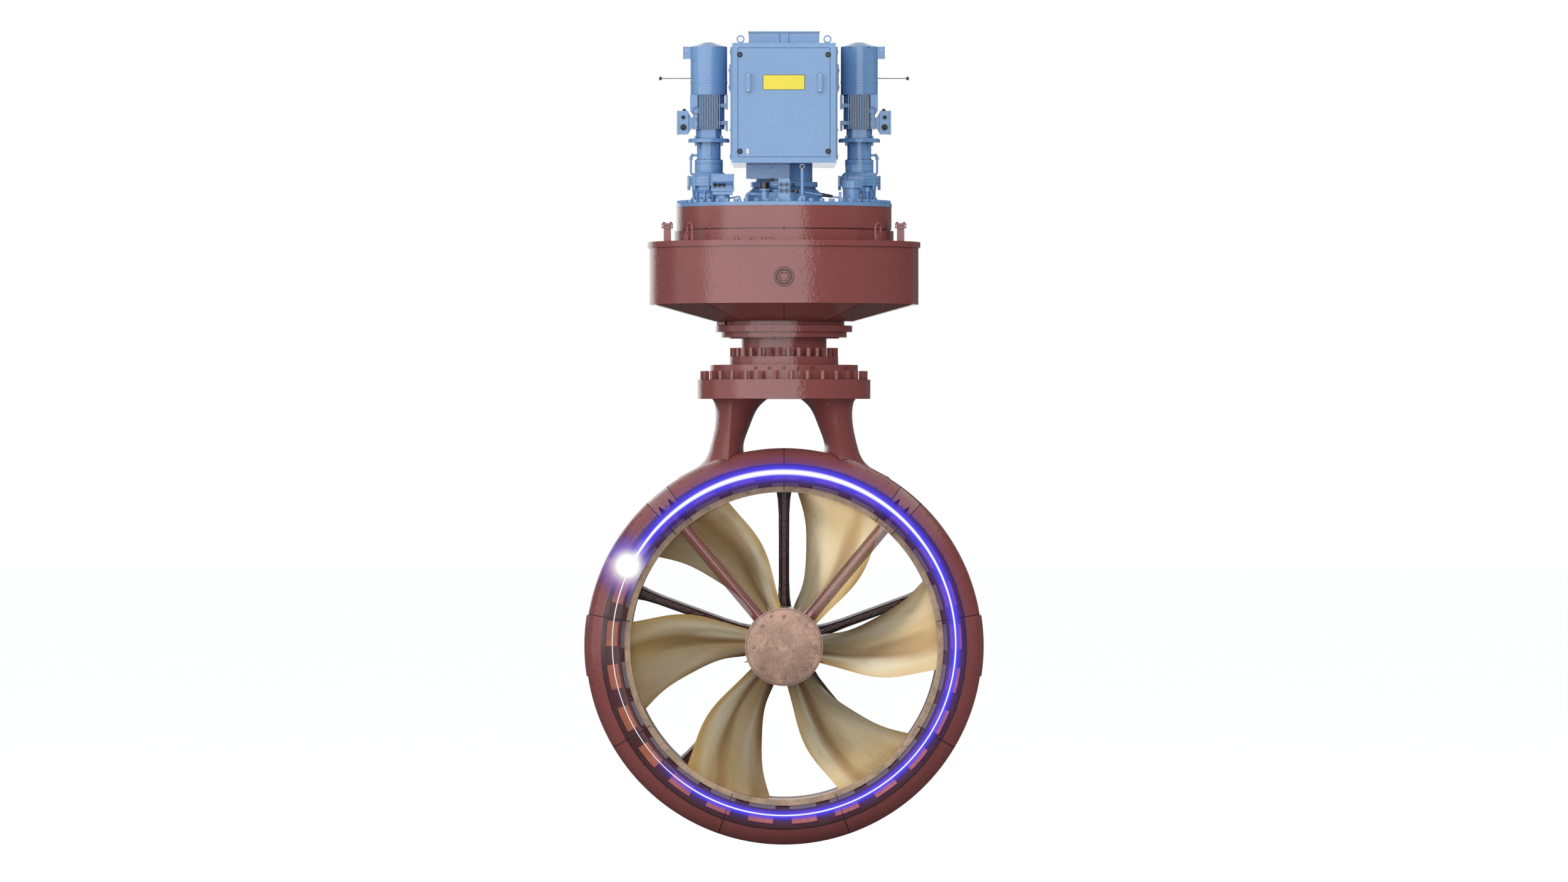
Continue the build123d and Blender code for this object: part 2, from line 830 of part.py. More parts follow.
# Pylon: the flange and two foil-shaped legs that spread onto the nozzle
nozzle_top = nozzle_z + nozzle_r
leg_span = pylon_flange_foot - nozzle_top
with BuildPart() as nozzle_envelope:
    revolve(nose_profile(radial_plane(0), duct_r, nozzle_r), axis=nozzle_axis)
    revolve(shell_profile(radial_plane(0), duct_r), axis=nozzle_axis)
with BuildPart() as pylon:
    with Locations((0, 0, adapter_foot)):
        Cylinder(pylon_flange_r, pylon_flange_t, align=DOWN)
    for side in sides.values():
        for fraction, inner, outer, chord in zip(leg_fractions, leg_inner, leg_outer, leg_half_chord):
            ridge = leg_ridge + 20 * fraction
            with BuildSketch(Plane.XY.offset(pylon_flange_foot - fraction * leg_span)):
                with BuildLine():
                    ThreePointArc((side * ridge, -chord), (side * outer, 0), (side * ridge, chord))
                    ThreePointArc((side * ridge, chord), (side * inner, 0), (side * ridge, -chord))
                make_face()
        loft()
    add(nozzle_envelope.part, mode=Mode.SUBTRACT)
    with Locations((0, 0, nozzle_z)):
        Cylinder(duct_r + 5, nozzle_l + 10, rotation=(90, 0, 0), mode=Mode.SUBTRACT)
    with Locations((0, 0, adapter_foot)):
        Cylinder(stem_bore_r, pylon_flange_t - 20, align=DOWN, mode=Mode.SUBTRACT)
pylon.part.label = "pylon"
export_step(pylon.part, "parts/pylon.step")

# Nozzle shell: outer wall round the motor and the tail behind it
with BuildPart() as nozzle_shell:
    revolve(shell_profile(radial_plane(0), duct_r), axis=nozzle_axis)
    cavity = box_sketch(radial_plane(0), (duct_r - 5, nose_back_y), (band_r, motor_l / 2))
    revolve(cavity, axis=nozzle_axis, mode=Mode.SUBTRACT)
nozzle_shell.part.label = "nozzle_shell"
export_step(nozzle_shell.part, "parts/nozzle_shell.step")

# Front ring in nine castings, split into the outer fairing and the motor cover inside it
seam_turn = degrees(seam_w / band_r)
segments = [
    (start, stop)
    for start, stop in zip(seam_angles, seam_angles[1:])
    if start not in block_starts
]
with BuildPart() as nose_fairing:
    for start, stop in segments:
        section = nose_profile(radial_plane(start + seam_turn / 2), band_r, nozzle_r)
        revolve(section, axis=nozzle_axis, revolution_arc=stop - start - seam_turn)
nose_fairing.part.label = "nose_fairing"
export_step(nose_fairing.part, "parts/nose_fairing.step")

with BuildPart() as motor_cover:
    for start, stop in segments:
        section = nose_profile(radial_plane(start + seam_turn / 2), duct_r, band_r)
        revolve(section, axis=nozzle_axis, revolution_arc=stop - start - seam_turn)
motor_cover.part.label = "motor_cover"
export_step(motor_cover.part, "parts/motor_cover.step")

# Rim motor: laminated stator with pockets, coils in them, magnets on the turning ring
coil_angles = [coil_start + index * 360 / coil_count for index in range(coil_count)]
with BuildPart() as stator_core:
    ring = box_sketch(radial_plane(0), (stator_bore_r, -stator_l / 2), (band_r, stator_l / 2))
    revolve(ring, axis=nozzle_axis)
    for angle in coil_angles:
        low = (coil_low_r, -stator_l / 2)
        high = (coil_high_r, stator_l / 2)
        pocket = box_sketch(radial_plane(angle - coil_arc / 2), low, high)
        revolve(pocket, axis=nozzle_axis, revolution_arc=coil_arc, mode=Mode.SUBTRACT)
stator_core.part.label = "stator_core"
export_step(stator_core.part, "parts/stator_core.step")

with BuildPart() as stator_coils:
    for angle in coil_angles:
        low = (coil_low_r, -coil_l / 2)
        high = (coil_high_r, coil_l / 2)
        block = box_sketch(radial_plane(angle - coil_arc / 2), low, high)
        revolve(block, axis=nozzle_axis, revolution_arc=coil_arc)
stator_coils.part.label = "stator_coils"
export_step(stator_coils.part, "parts/stator_coils.step")

with BuildPart() as rotor_ring:
    ring = box_sketch(radial_plane(0), (duct_r, -rotor_l / 2), (rotor_ring_r, rotor_l / 2))
    revolve(ring, axis=nozzle_axis)
rotor_ring.part.label = "rotor_ring"
export_step(rotor_ring.part, "parts/rotor_ring.step")

magnet_angles = [coil_start + index * 360 / magnet_count for index in range(magnet_count)]
with BuildPart() as rotor_magnets:
    for angle in magnet_angles:
        low = (rotor_ring_r, -magnet_l / 2)
        high = (magnet_r, magnet_l / 2)
        block = box_sketch(radial_plane(angle - magnet_arc / 2), low, high)
        revolve(block, axis=nozzle_axis, revolution_arc=magnet_arc)
rotor_magnets.part.label = "rotor_magnets"
export_step(rotor_magnets.part, "parts/rotor_magnets.step")

# Propeller hub, turning on the two sleeves of the axle
with BuildPart() as propeller_hub:
    with Locations((0, 0, nozzle_z)):
        Cylinder(hub_r, hub_l, rotation=(90, 0, 0))
        Cylinder(hub_bore_r + running_gap, hub_l, rotation=(90, 0, 0), mode=Mode.SUBTRACT)
propeller_hub.part.label = "propeller_hub"
export_step(propeller_hub.part, "parts/propeller_hub.step")


def blade_value(values, span):
    """Value of a blade's table at a share of the span, held at both ends."""
    span = min(max(span, blade_spans[0]), blade_spans[-1])
    for index in range(len(blade_spans) - 1):
        low = blade_spans[index]
        high = blade_spans[index + 1]
        if span <= high:
            share = (span - low) / (high - low)
            return values[index] + share * (values[index + 1] - values[index])
    return values[-1]


def blade_edge(distance, way):
    """Where one edge of the blade crosses a flat section at a distance from the propeller axis."""
    angle = 0.0
    for _ in range(8):
        span = (distance / cos(radians(angle)) - hub_r) / (duct_r - hub_r)
        angle = blade_value(blade_skews, span) + way * blade_value(blade_half_arcs, span)
    axial = -blade_pitch * way * blade_value(blade_half_arcs, span) / 360
    return Vector(distance * tan(radians(angle)), axial)


# Six blades: lens-shaped sections on the pitch helix, trimmed to the hub and to the ring
blade_distances = [hub_r * 0.86 + (duct_r + 12 - hub_r * 0.86) * share for share in (0, 0.14, 0.3, 0.5, 0.7, 0.86, 1)]
with BuildPart() as blade:
    for distance in blade_distances:
        leading = blade_edge(distance, 1)
        trailing = blade_edge(distance, -1)
        middle = (leading + trailing) * 0.5
        across = (leading - trailing).normalized().rotate(Axis.Z, 90)
        thickness = blade_value(blade_thicknesses, (distance - hub_r) / (duct_r - hub_r))
        with BuildSketch(Plane(origin=(0, 0, nozzle_z + distance), x_dir=(1, 0, 0), z_dir=(0, 0, 1))):
            with BuildLine():
                ThreePointArc(leading, middle + across * thickness * 0.5, trailing)
                ThreePointArc(trailing, middle - across * thickness * 0.5, leading)
            make_face()
    loft()
    with Locations((0, 0, nozzle_z)):
        Cylinder(duct_r, nozzle_l, rotation=(90, 0, 0), mode=Mode.INTERSECT)
        Cylinder(hub_r, nozzle_l, rotation=(90, 0, 0), mode=Mode.SUBTRACT)
with BuildPart() as propeller_blades:
    for index in range(blade_count):
        turn = blade_phase + index * 360 / blade_count
        add(blade.part.rotate(nozzle_axis, turn))
propeller_blades.part.label = "propeller_blades"
export_step(propeller_blades.part, "parts/propeller_blades.step")

# Axle between the two hubs, with the two bearing sleeves on it
with BuildPart() as hub_axle:
    with Locations((0, 0, nozzle_z)):
        Cylinder(axle_r, 2 * (hub_seat_y + axle_seat_l), rotation=(90, 0, 0))
    for way in (-1, 1):
        with Locations((0, way * (hub_l / 2 - bearing_l / 2), nozzle_z)):
            Cylinder(hub_bore_r, bearing_l, rotation=(90, 0, 0))
hub_axle.part.label = "hub_axle"
export_step(hub_axle.part, "parts/hub_axle.step")

# Front spider: hub, two struts and the blocks that key them into the front ring
front_hub_l = -cap_y - hub_seat_y - cap_rim_t
with BuildPart() as front_spider:
    with Locations((0, -hub_seat_y, nozzle_z)):
        Cylinder(hub_r, front_hub_l, align=UP, rotation=(90, 0, 0))
    strut_length = lip_r + 30 - hub_r / 2
    for place in around_nozzle(hub_r / 2, front_strut_angles, -strut_offset_y):
        with BuildSketch(Plane(place)):
            Ellipse(front_strut_w / 2, front_strut_chord / 2)
        extrude(amount=strut_length)
    for start in block_starts:
        stop = seam_angles[seam_angles.index(start) + 1]
        section = nose_profile(radial_plane(start), duct_r, nozzle_r)
        revolve(section, axis=nozzle_axis, revolution_arc=stop - start)
    for place in around_nozzle(duct_r, front_strut_angles, nose_y):
        with BuildSketch(Plane(place)):
            for side in sides.values():
                with BuildLine():
                    Polyline(
                        (side * valley_near, -valley_near),
                        (side * valley_far, -valley_near),
                        (side * valley_mid, valley_depth),
                        close=True,
                    )
                make_face()
        extrude(amount=nozzle_wall, mode=Mode.SUBTRACT)
    with Locations((0, -hub_seat_y, nozzle_z)):
        Cylinder(axle_r, axle_seat_l, align=UP, rotation=(90, 0, 0), mode=Mode.SUBTRACT)
    cutter_y = -hub_seat_y - cutter_l / 2
    for index in range(cutter_count):
        turn = (index + 0.5) * 360 / cutter_count
        with BuildSketch(Plane(around_nozzle(hub_r - cutter_sink, [turn], cutter_y)[0])):
            Rectangle(cutter_w, cutter_l)
        with BuildSketch(Plane(around_nozzle(hub_r + cutter_reach, [turn], cutter_y)[0])):
            Rectangle(cutter_tip_w, cutter_tip_l)
        loft()
front_spider.part.label = "front_spider"
export_step(front_spider.part, "parts/front_spider.step")

# Domed hub cap and its bolts
with BuildPart() as hub_cap:
    with BuildSketch(radial_plane(90)):
        with BuildLine():
            Line((0, cap_y + cap_rim_t), (cap_r, cap_y + cap_rim_t))
            Line((cap_r, cap_y + cap_rim_t), (cap_r, cap_y))
            RadiusArc((cap_r, cap_y), (0, cap_y - cap_rise), cap_dome_r)
            Line((0, cap_y - cap_rise), (0, cap_y + cap_rim_t))
        make_face()
    revolve(axis=nozzle_axis)
    with BuildSketch(Plane.XZ.offset(-cap_y)):
        with Locations((0, nozzle_z)):
            with PolarLocations(cap_bolt_circle_r, cap_bolt_count, start_angle=90):
                Circle(cap_bolt_r)
    extrude(amount=cap_bolt_h)
hub_cap.part.label = "hub_cap"
export_step(hub_cap.part, "parts/hub_cap.step")

# Rear spider: hub and five struts that end on the inner wall of the nozzle
with BuildPart() as rear_spider:
    with BuildSketch(radial_plane(90)):
        with BuildLine():
            Line((0, hub_seat_y), (hub_r - 8, hub_seat_y))
            Line((hub_r - 8, hub_seat_y), (rear_hub_r, hub_seat_y + 60))
            ThreePointArc((rear_hub_r, hub_seat_y + 60), (rear_hub_r * 0.8, tail_y - 30), (0, tail_y + 20))
            Line((0, tail_y + 20), (0, hub_seat_y))
        make_face()
    revolve(axis=nozzle_axis)
    strut_stations = [
        (rear_hub_r * 0.7, rear_strut_flare),
        (rear_hub_r * 1.2, rear_strut_flare),
        (rear_hub_r * 2, 1.0),
        (duct_r * 0.85, 1.0),
        (duct_r + 10, rear_strut_flare),
    ]
    for angle in rear_strut_angles:
        for radius, widening in strut_stations:
            half = rear_strut_w / 2 * widening
            with BuildSketch(Plane(around_nozzle(radius, [angle], strut_offset_y)[0])):
                with BuildLine():
                    ThreePointArc((0, -rear_strut_chord / 2), (half, 0), (0, rear_strut_chord / 2))
                    ThreePointArc((0, rear_strut_chord / 2), (-half, 0), (0, -rear_strut_chord / 2))
                make_face()
        loft(ruled=True)
    with Locations((0, 0, nozzle_z)):
        Cylinder(duct_r, nozzle_l + 60, rotation=(90, 0, 0), mode=Mode.INTERSECT)
    with Locations((0, hub_seat_y, nozzle_z)):
        Cylinder(axle_r, axle_seat_l, align=DOWN, rotation=(90, 0, 0), mode=Mode.SUBTRACT)
rear_spider.part.label = "rear_spider"
export_step(rear_spider.part, "parts/rear_spider.step")

# Zinc anodes on the widest part of the nozzle
anode_arc = 17.6
anode_t = 12.0
with BuildPart() as anodes:
    for angle in (90, 270):
        strip = box_sketch(radial_plane(angle - anode_arc / 2), (nozzle_r, -90), (nozzle_r + anode_t, 60))
        revolve(strip, axis=nozzle_axis, revolution_arc=anode_arc)
anodes.part.label = "anodes"
export_step(anodes.part, "parts/anodes.step")

# Cabinet body: folded sheet with an open front and a lip round it
cabinet_front = -cabinet_d / 2
cabinet_mid_z = cabinet_foot + cabinet_h / 2
cabinet_top = cabinet_foot + cabinet_h
with BuildPart() as cabinet_body:
    with Locations((0, 0, cabinet_foot)):
        Box(cabinet_w, cabinet_d, cabinet_h, align=UP)
    with Locations((0, 0, cabinet_mid_z)):
        Box(cabinet_w - 2 * sheet_t, cabinet_d - 2 * sheet_t, cabinet_h - 2 * sheet_t, mode=Mode.SUBTRACT)
        Box(
            cabinet_w - 2 * front_lip,
            cabinet_d,
            cabinet_h - 2 * front_lip,
            align=(Align.CENTER, Align.MAX, Align.CENTER),
            mode=Mode.SUBTRACT,
        )
        for side in sides.values():
            with Locations((side * (cabinet_w / 2 + side_panel_t / 2), 0, 0)):
                Box(side_panel_t, cabinet_d - 2 * side_panel_edge_y, cabinet_h - 2 * side_panel_edge_z)
            with Locations((side * (cabinet_w / 2 + side_panel_t + side_boss_t / 2), 0, side_boss_rise)):
                Box(side_boss_t, side_boss_w, side_boss_h)
    with Locations((0, 0, cabinet_foot)):
        Cylinder(neck_bore_r, sheet_t, align=UP, mode=Mode.SUBTRACT)
cabinet_body.part.label = "cabinet_body"
export_step(cabinet_body.part, "parts/cabinet_body.step")

# Ventilation hood on the roof, with its overhanging lid
with BuildPart() as cabinet_hood:
    with Locations((0, 0, cabinet_top)):
        Box(hood_w, hood_d, hood_h - hood_lid_t - hood_gap, align=UP)
    with Locations((0, 0, cabinet_top + hood_h - hood_lid_t - hood_gap)):
        Box(hood_w - 2 * hood_inset, hood_d - 2 * hood_inset, hood_gap, align=UP)
    with Locations((0, 0, cabinet_top + hood_h - hood_lid_t)):
        Box(hood_w + 2 * hood_eaves, hood_d + 2 * hood_eaves, hood_lid_t, align=UP)
cabinet_hood.part.label = "cabinet_hood"
export_step(cabinet_hood.part, "parts/cabinet_hood.step")

with BuildPart() as roof_eye_bolts:
    for side in sides.values():
        for end in (-1, 1):
            with Locations((side * eye_x, end * eye_y, cabinet_top)):
                Cylinder(17, 6, align=UP)
                with Locations((0, 0, 4 + eye_out_r)):
                    Cylinder(eye_out_r, eye_t, rotation=(90, 0, 0))
                    Cylinder(eye_in_r, eye_t, rotation=(90, 0, 0), mode=Mode.SUBTRACT)
roof_eye_bolts.part.label = "roof_eye_bolts"
export_step(roof_eye_bolts.part, "parts/roof_eye_bolts.step")

# Neck that carries the cabinet over the cover plate, with the cable box on its left
neck_h = cabinet_foot - cover_top
with BuildPart() as cabinet_neck:
    with BuildSketch(Plane.XZ):
        with BuildLine():
            Polyline(
                (neck_bore_r, cover_top),
                (neck_foot_r, cover_top),
                (neck_foot_r, cover_top + neck_h * 0.28),
                (neck_disc_r - 12, cover_top + neck_h * 0.4),
                (neck_disc_r - 12, cover_top + neck_h * 0.43),
                (neck_disc_r, cover_top + neck_h * 0.43),
                (neck_disc_r, cover_top + neck_h * 0.56),
                (neck_r, cover_top + neck_h * 0.56),
                (neck_r, cabinet_foot),
                (neck_bore_r, cabinet_foot),
                close=True,
            )
        make_face()
    revolve(axis=Axis.Z)
    with Locations((-100, -neck_r + 20, cabinet_foot)):
        Box(268, 120, neck_h * 0.38, align=(Align.CENTER, Align.MAX, Align.MAX))
    with Locations((0, 0, cover_top)):
        Cylinder(neck_bore_r, neck_h, align=UP, mode=Mode.SUBTRACT)
cabinet_neck.part.label = "cabinet_neck"
export_step(cabinet_neck.part, "parts/cabinet_neck.step")

# Brush gear: two posts on the cabinet floor with one brush holder at each slip ring
brush_post_x = slip_ring_r + 70
with BuildPart() as brush_gear:
    for side in sides.values():
        with Locations((side * brush_post_x, 0, cabinet_foot + sheet_t)):
            Box(30, 60, column_top - cabinet_foot - sheet_t, align=UP)
        for index in range(slip_ring_count):
            z_mid = column_top - 30 - index * slip_ring_pitch - slip_ring_t / 2
            with Locations((side * (slip_ring_r + moving_gap), 0, z_mid)):
                Box(56, 28, 16, align=(Align.MIN if side > 0 else Align.MAX, Align.CENTER, Align.CENTER))
brush_gear.part.label = "brush_gear"
export_step(brush_gear.part, "parts/brush_gear.step")

# Cabinet cover: a pan-shaped door panel with two bridge handles
door_front = cabinet_front - moving_gap - door_t
door_foot = cabinet_mid_z - door_h / 2
with BuildPart() as cabinet_cover:
    with Locations((0, door_front, cabinet_mid_z)):
        Box(door_w, door_t, door_h, align=(Align.CENTER, Align.MIN, Align.CENTER))
    with Locations((0, cabinet_front - moving_gap, cabinet_mid_z)):
        Box(
            door_w - 2 * front_lip,
            door_t - sheet_t,
            door_h - 2 * front_lip,
            align=(Align.CENTER, Align.MAX, Align.CENTER),
            mode=Mode.SUBTRACT,
        )
    for side in sides.values():
        with Locations((side * handle_x, door_front, door_foot + handle_mid)):
            Box(handle_w, handle_h, handle_l, align=(Align.CENTER, Align.MAX, Align.CENTER))
            Box(
                handle_w,
                handle_h - 10,
                handle_l - 20,
                align=(Align.CENTER, Align.MAX, Align.CENTER),
                mode=Mode.SUBTRACT,
            )
    for x in (-lock_x, lock_x):
        for z in (door_foot + lock_low, door_foot + lock_high):
            with Locations((x, door_front, z)):
                Cylinder(lock_shaft_r + running_gap, 2 * door_t, rotation=(90, 0, 0), mode=Mode.SUBTRACT)
cabinet_cover.part.label = "cabinet_cover"
export_step(cabinet_cover.part, "parts/cabinet_cover.step")

# Four quarter-turn locks in the cover: head, shaft and the cam behind the lip
lock_places = {
    "upper_left": (-lock_x, door_foot + lock_high),
    "upper_right": (lock_x, door_foot + lock_high),
    "lower_left": (-lock_x, door_foot + lock_low),
    "lower_right": (lock_x, door_foot + lock_low),
}
lock_shaft_l = door_t + moving_gap + sheet_t + 14
for name, place in lock_places.items():
    with BuildPart() as cover_lock:
        with Locations((place[0], door_front - moving_gap, place[1])):
            Cylinder(lock_head_r, lock_head_t, align=UP, rotation=(90, 0, 0))
            Cylinder(lock_shaft_r, lock_shaft_l, align=DOWN, rotation=(90, 0, 0))
            with Locations((0, lock_shaft_l, 0)):
                Box(14, 4, 44, align=(Align.CENTER, Align.MAX, Align.CENTER))
    cover_lock.part.label = f"cover_lock_{name}"
    export_step(cover_lock.part, f"parts/cover_lock_{name}.step")

# Steering drive on each side, from the cover plate up: gearbox, motor and fan cowl
case_low = cover_top + gearbox_foot_h
case_high = case_low + gearbox_case_h
drum_low = case_high + gearbox_cone_h
drum_high = drum_low + gearbox_drum_h
lantern_high = drum_high + lantern_h
flange_high = lantern_high + motor_flange_t
frame_low = flange_high + shield_h
frame_high = frame_low + frame_h
cowl_high = frame_high + cowl_h


def grooved(radius, low, heights):
    """Corner points up a turned face, with a shallow groove at each height above its foot."""
    points = []
    for height in heights:
        for rise, inset in ((0, 0), (0, groove_depth), (groove_w, groove_depth), (groove_w, 0)):
            points.append((radius - inset, low + height + rise))
    return points


gearboxes = []
motors = []
for name, side in sides.items():
    centre = upright_plane(side * motor_x)
    drive_axis = Axis((side * motor_x, 0, 0), (0, 0, 1))
    outward = Align.MIN if side > 0 else Align.MAX
    inward = Align.MAX if side > 0 else Align.MIN
    with BuildPart() as gearbox:
        with BuildSketch(centre):
            with BuildLine():
                dome_foot = (gearbox_case_r - gearbox_shoulder, case_high)
                dome_top = (gearbox_drum_r + 4, drum_low)
                Polyline(
                    dome_top,
                    (gearbox_drum_r, drum_low),
                    *grooved(gearbox_drum_r, drum_low, (9, 50, 57)),
                    (gearbox_drum_r, drum_high),
                    (lantern_r, drum_high),
                    (lantern_r, lantern_high),
                    (motor_flange_r, lantern_high),
                    (motor_flange_r, flange_high - motor_flange_bevel),
                    (motor_flange_r - motor_flange_bevel, flange_high),
                    (0, flange_high),
                    (0, pinion_shaft_top + 4),
                    (pinion_shaft_r + running_gap, pinion_shaft_top + 4),
                    (pinion_shaft_r + running_gap, cover_top),
                    (gearbox_foot_r, cover_top),
                    (gearbox_foot_r, case_low - 2 * gearbox_bolt_l),
                    (gearbox_collar_r, case_low - gearbox_bolt_l),
                    (gearbox_collar_r, case_low),
                    (gearbox_case_r, case_low),
                    *grooved(gearbox_case_r, case_low, (18, 37)),
                    (gearbox_case_r, case_high),
                    dome_foot,
                )
                ThreePointArc(dome_foot, (gearbox_case_r - 1.6 * gearbox_shoulder, drum_low - 7), dome_top)
            make_face()
        revolve(axis=drive_axis)
        with Locations((side * motor_x, 0, cover_top)):
            with PolarLocations(gearbox_rib_reach / 2, gearbox_rib_count, start_angle=15):
                Box(gearbox_rib_reach, gearbox_rib_t, gearbox_foot_h - gearbox_bolt_l, align=UP)
            with PolarLocations(gearbox_rib_reach, gearbox_rib_count):
                Cylinder(gearbox_stud_r, gearbox_foot_h * 0.36, align=UP)
        with Locations((side * motor_x, 0, case_low - gearbox_bolt_l)):
            with PolarLocations(gearbox_case_r - gearbox_bolt_inset, gearbox_bolt_count):
                Cylinder(gearbox_bolt_r, gearbox_case_h + gearbox_bolt_l + 6, align=UP)
        with Locations((side * motor_x, 0, drum_high)):
            with PolarLocations(gearbox_drum_r - 8, gearbox_bolt_count, start_angle=22.5):
                Cylinder(5, 6, align=UP)
        for turn in (45, 135, 225, 315):
            with BuildSketch(upright_plane(side * motor_x, 0, turn)):
                with BuildLine():
                    Polyline(
                        (lantern_r - 4, lantern_high),
                        (lantern_r + gusset_reach, lantern_high),
                        (lantern_r - 4, lantern_high - gusset_h),
                        close=True,
                    )
                make_face()
            extrude(amount=gusset_t / 2, both=True)
        with BuildSketch(centre):
            with Locations((0, lantern_high - hand_cover_h / 2)):
                Rectangle(hand_cover_w, hand_cover_h)
            with Locations((0, lantern_high - hand_cover_h)):
                Circle(hand_cover_w / 2)
        extrude(amount=lantern_r + hand_cover_t, both=True)
        with Locations((side * motor_x, 0, lantern_high - flange_bolt_h)):
            with PolarLocations(flange_bolt_circle_r, 4, start_angle=45):
                Cylinder(flange_bolt_r, motor_flange_t + 2 * flange_bolt_h, align=UP)
        with Locations((side * motor_x, 0, cover_top)):
            Cylinder(pinion_shaft_r + running_gap, pinion_shaft_top + 4 - cover_top, align=UP, mode=Mode.SUBTRACT)
    gearbox.part.label = f"gearbox_{name}"
    export_step(gearbox.part, f"parts/gearbox_{name}.step")
    gearboxes.append(gearbox.part)

    with BuildPart() as motor:
        with Locations((side * motor_x, 0, flange_high)):
            Cylinder(shield_core_r, shield_h, align=UP)
            Box(shield_face_w, 2 * (shield_core_r + 8), shield_h, align=UP)
        for turn in (30, 60, 120, 150, 210, 240, 300, 330):
            with BuildSketch(upright_plane(side * motor_x, 0, turn)):
                with BuildLine():
                    Polyline(
                        (0, flange_high),
                        (shield_rib_low, flange_high),
                        (shield_rib_high, frame_low),
                        (0, frame_low),
                        close=True,
                    )
                make_face()
            extrude(amount=shield_rib_t / 2, both=True)
        with Locations((side * motor_x, 0, frame_low)):
            Cylinder(frame_r, frame_h, align=UP)
        with Locations((side * motor_x, 0, frame_low)):
            for end in (-1, 1):
                with Locations((0, end * frame_flat, 0)):
                    flat_align = (Align.CENTER, Align.MIN if end > 0 else Align.MAX, Align.MIN)
                    Box(2 * frame_r, frame_r, frame_h, align=flat_align, mode=Mode.SUBTRACT)
            for index in range(fin_count):
                x = (index - (fin_count - 1) / 2) * fin_pitch - side * fin_shift
                with Locations((x, 0, 0)):
                    Box(fin_t, 2 * (cowl_r - 2), frame_h, align=UP)
            with Locations((side * (frame_r - rail_w - 4), 0, 0)):
                Box(rail_w, rail_d, frame_h, align=(outward, Align.CENTER, Align.MIN))
            with Locations((side * cowl_r, 0, frame_h - casing_h)):
                Box(casing_w, casing_d, casing_h, align=(inward, Align.CENTER, Align.MIN))
            with Locations((side * cowl_r, 0, frame_h - casing_h)):
                Box(casing_bevel, casing_d, casing_bevel, rotation=(0, 45, 0), mode=Mode.SUBTRACT)
            for end in (-1, 1):
                for rise in foot_web_heights:
                    with Locations((-side * frame_r / 2, end * foot_y, rise - (frame_low - flange_high))):
                        web_l = foot_pad_reach - frame_r / 2 - 1
                        Box(web_l, foot_web_d, foot_web_h, align=(inward, Align.CENTER, Align.MIN))
                for low, high in foot_pad_heights:
                    with Locations((-side * foot_pad_reach, end * foot_y, low - (frame_low - flange_high))):
                        Box(foot_pad_t, foot_pad_d, high - low, align=(outward, Align.CENTER, Align.MIN))
            Cylinder(frame_flat - 10, frame_h, align=UP)
        with Locations((side * motor_x, 0, frame_high)):
            Cylinder(brake_r, lever_z - lever_boss_r - lever_seat - frame_high, align=UP)
        with Locations((side * (motor_x + lever_pivot_x), 0, lever_z - lever_boss_r - lever_seat)):
            for end in (-1, 1):
                with Locations((0, end * (lever_boss_w / 2 + moving_gap + lever_cheek_t / 2), 0)):
                    Box(2 * lever_boss_r, lever_cheek_t, 2 * lever_boss_r + lever_seat, align=UP)
        with Locations((side * (motor_x + lever_pivot_x), 0, lever_z)):
            Cylinder(lever_pin_r, lever_boss_w + 2 * (moving_gap + lever_cheek_t), rotation=(90, 0, 0))
    motor.part.label = f"motor_{name}"
    export_step(motor.part, f"parts/motor_{name}.step")
    motors.append(motor.part)

    with BuildPart() as fan_cowl:
        with BuildSketch(centre):
            with BuildLine():
                bead_low = frame_high + cowl_bead_z
                Polyline(
                    (cowl_r - cowl_wall, frame_high),
                    (cowl_r, frame_high),
                    (cowl_r, bead_low),
                    (cowl_r + cowl_bead_t, bead_low + cowl_bead_t),
                    (cowl_r + cowl_bead_t, bead_low + cowl_bead_h - cowl_bead_t),
                    (cowl_r, bead_low + cowl_bead_h),
                    (cowl_r, cowl_high),
                    (cowl_crown_r, cowl_high + cowl_crown_h),
                    (0, cowl_high + cowl_crown_h),
                    (0, cowl_high + cowl_crown_h - cowl_wall),
                    (cowl_crown_r, cowl_high + cowl_crown_h - cowl_wall),
                    (cowl_r - cowl_wall, cowl_high - cowl_wall),
                    close=True,
                )
            make_face()
        revolve(axis=drive_axis)
        with Locations((side * (motor_x + cowl_r), 0, lever_z + lever_seat)):
            Box(4 * cowl_wall + lever_seat, lever_slot_w, lever_slot_h, mode=Mode.SUBTRACT)
    fan_cowl.part.label = f"fan_cowl_{name}"
    export_step(fan_cowl.part, f"parts/fan_cowl_{name}.step")

    with BuildPart() as brake_lever:
        with Locations((side * (motor_x + lever_pivot_x), 0, lever_z)):
            Cylinder(lever_boss_r, lever_boss_w, rotation=(90, 0, 0))
            Cylinder(lever_r, lever_reach - lever_pivot_x, align=UP, rotation=(0, side * 90, 0))
            Cylinder(lever_pin_r + running_gap, lever_boss_w, rotation=(90, 0, 0), mode=Mode.SUBTRACT)
        with Locations((side * (motor_x + lever_reach), 0, lever_z)):
            Cylinder(lever_knob_r, lever_knob_l, align=UP, rotation=(0, side * 90, 0))
    brake_lever.part.label = f"brake_lever_{name}"
    export_step(brake_lever.part, f"parts/brake_lever_{name}.step")

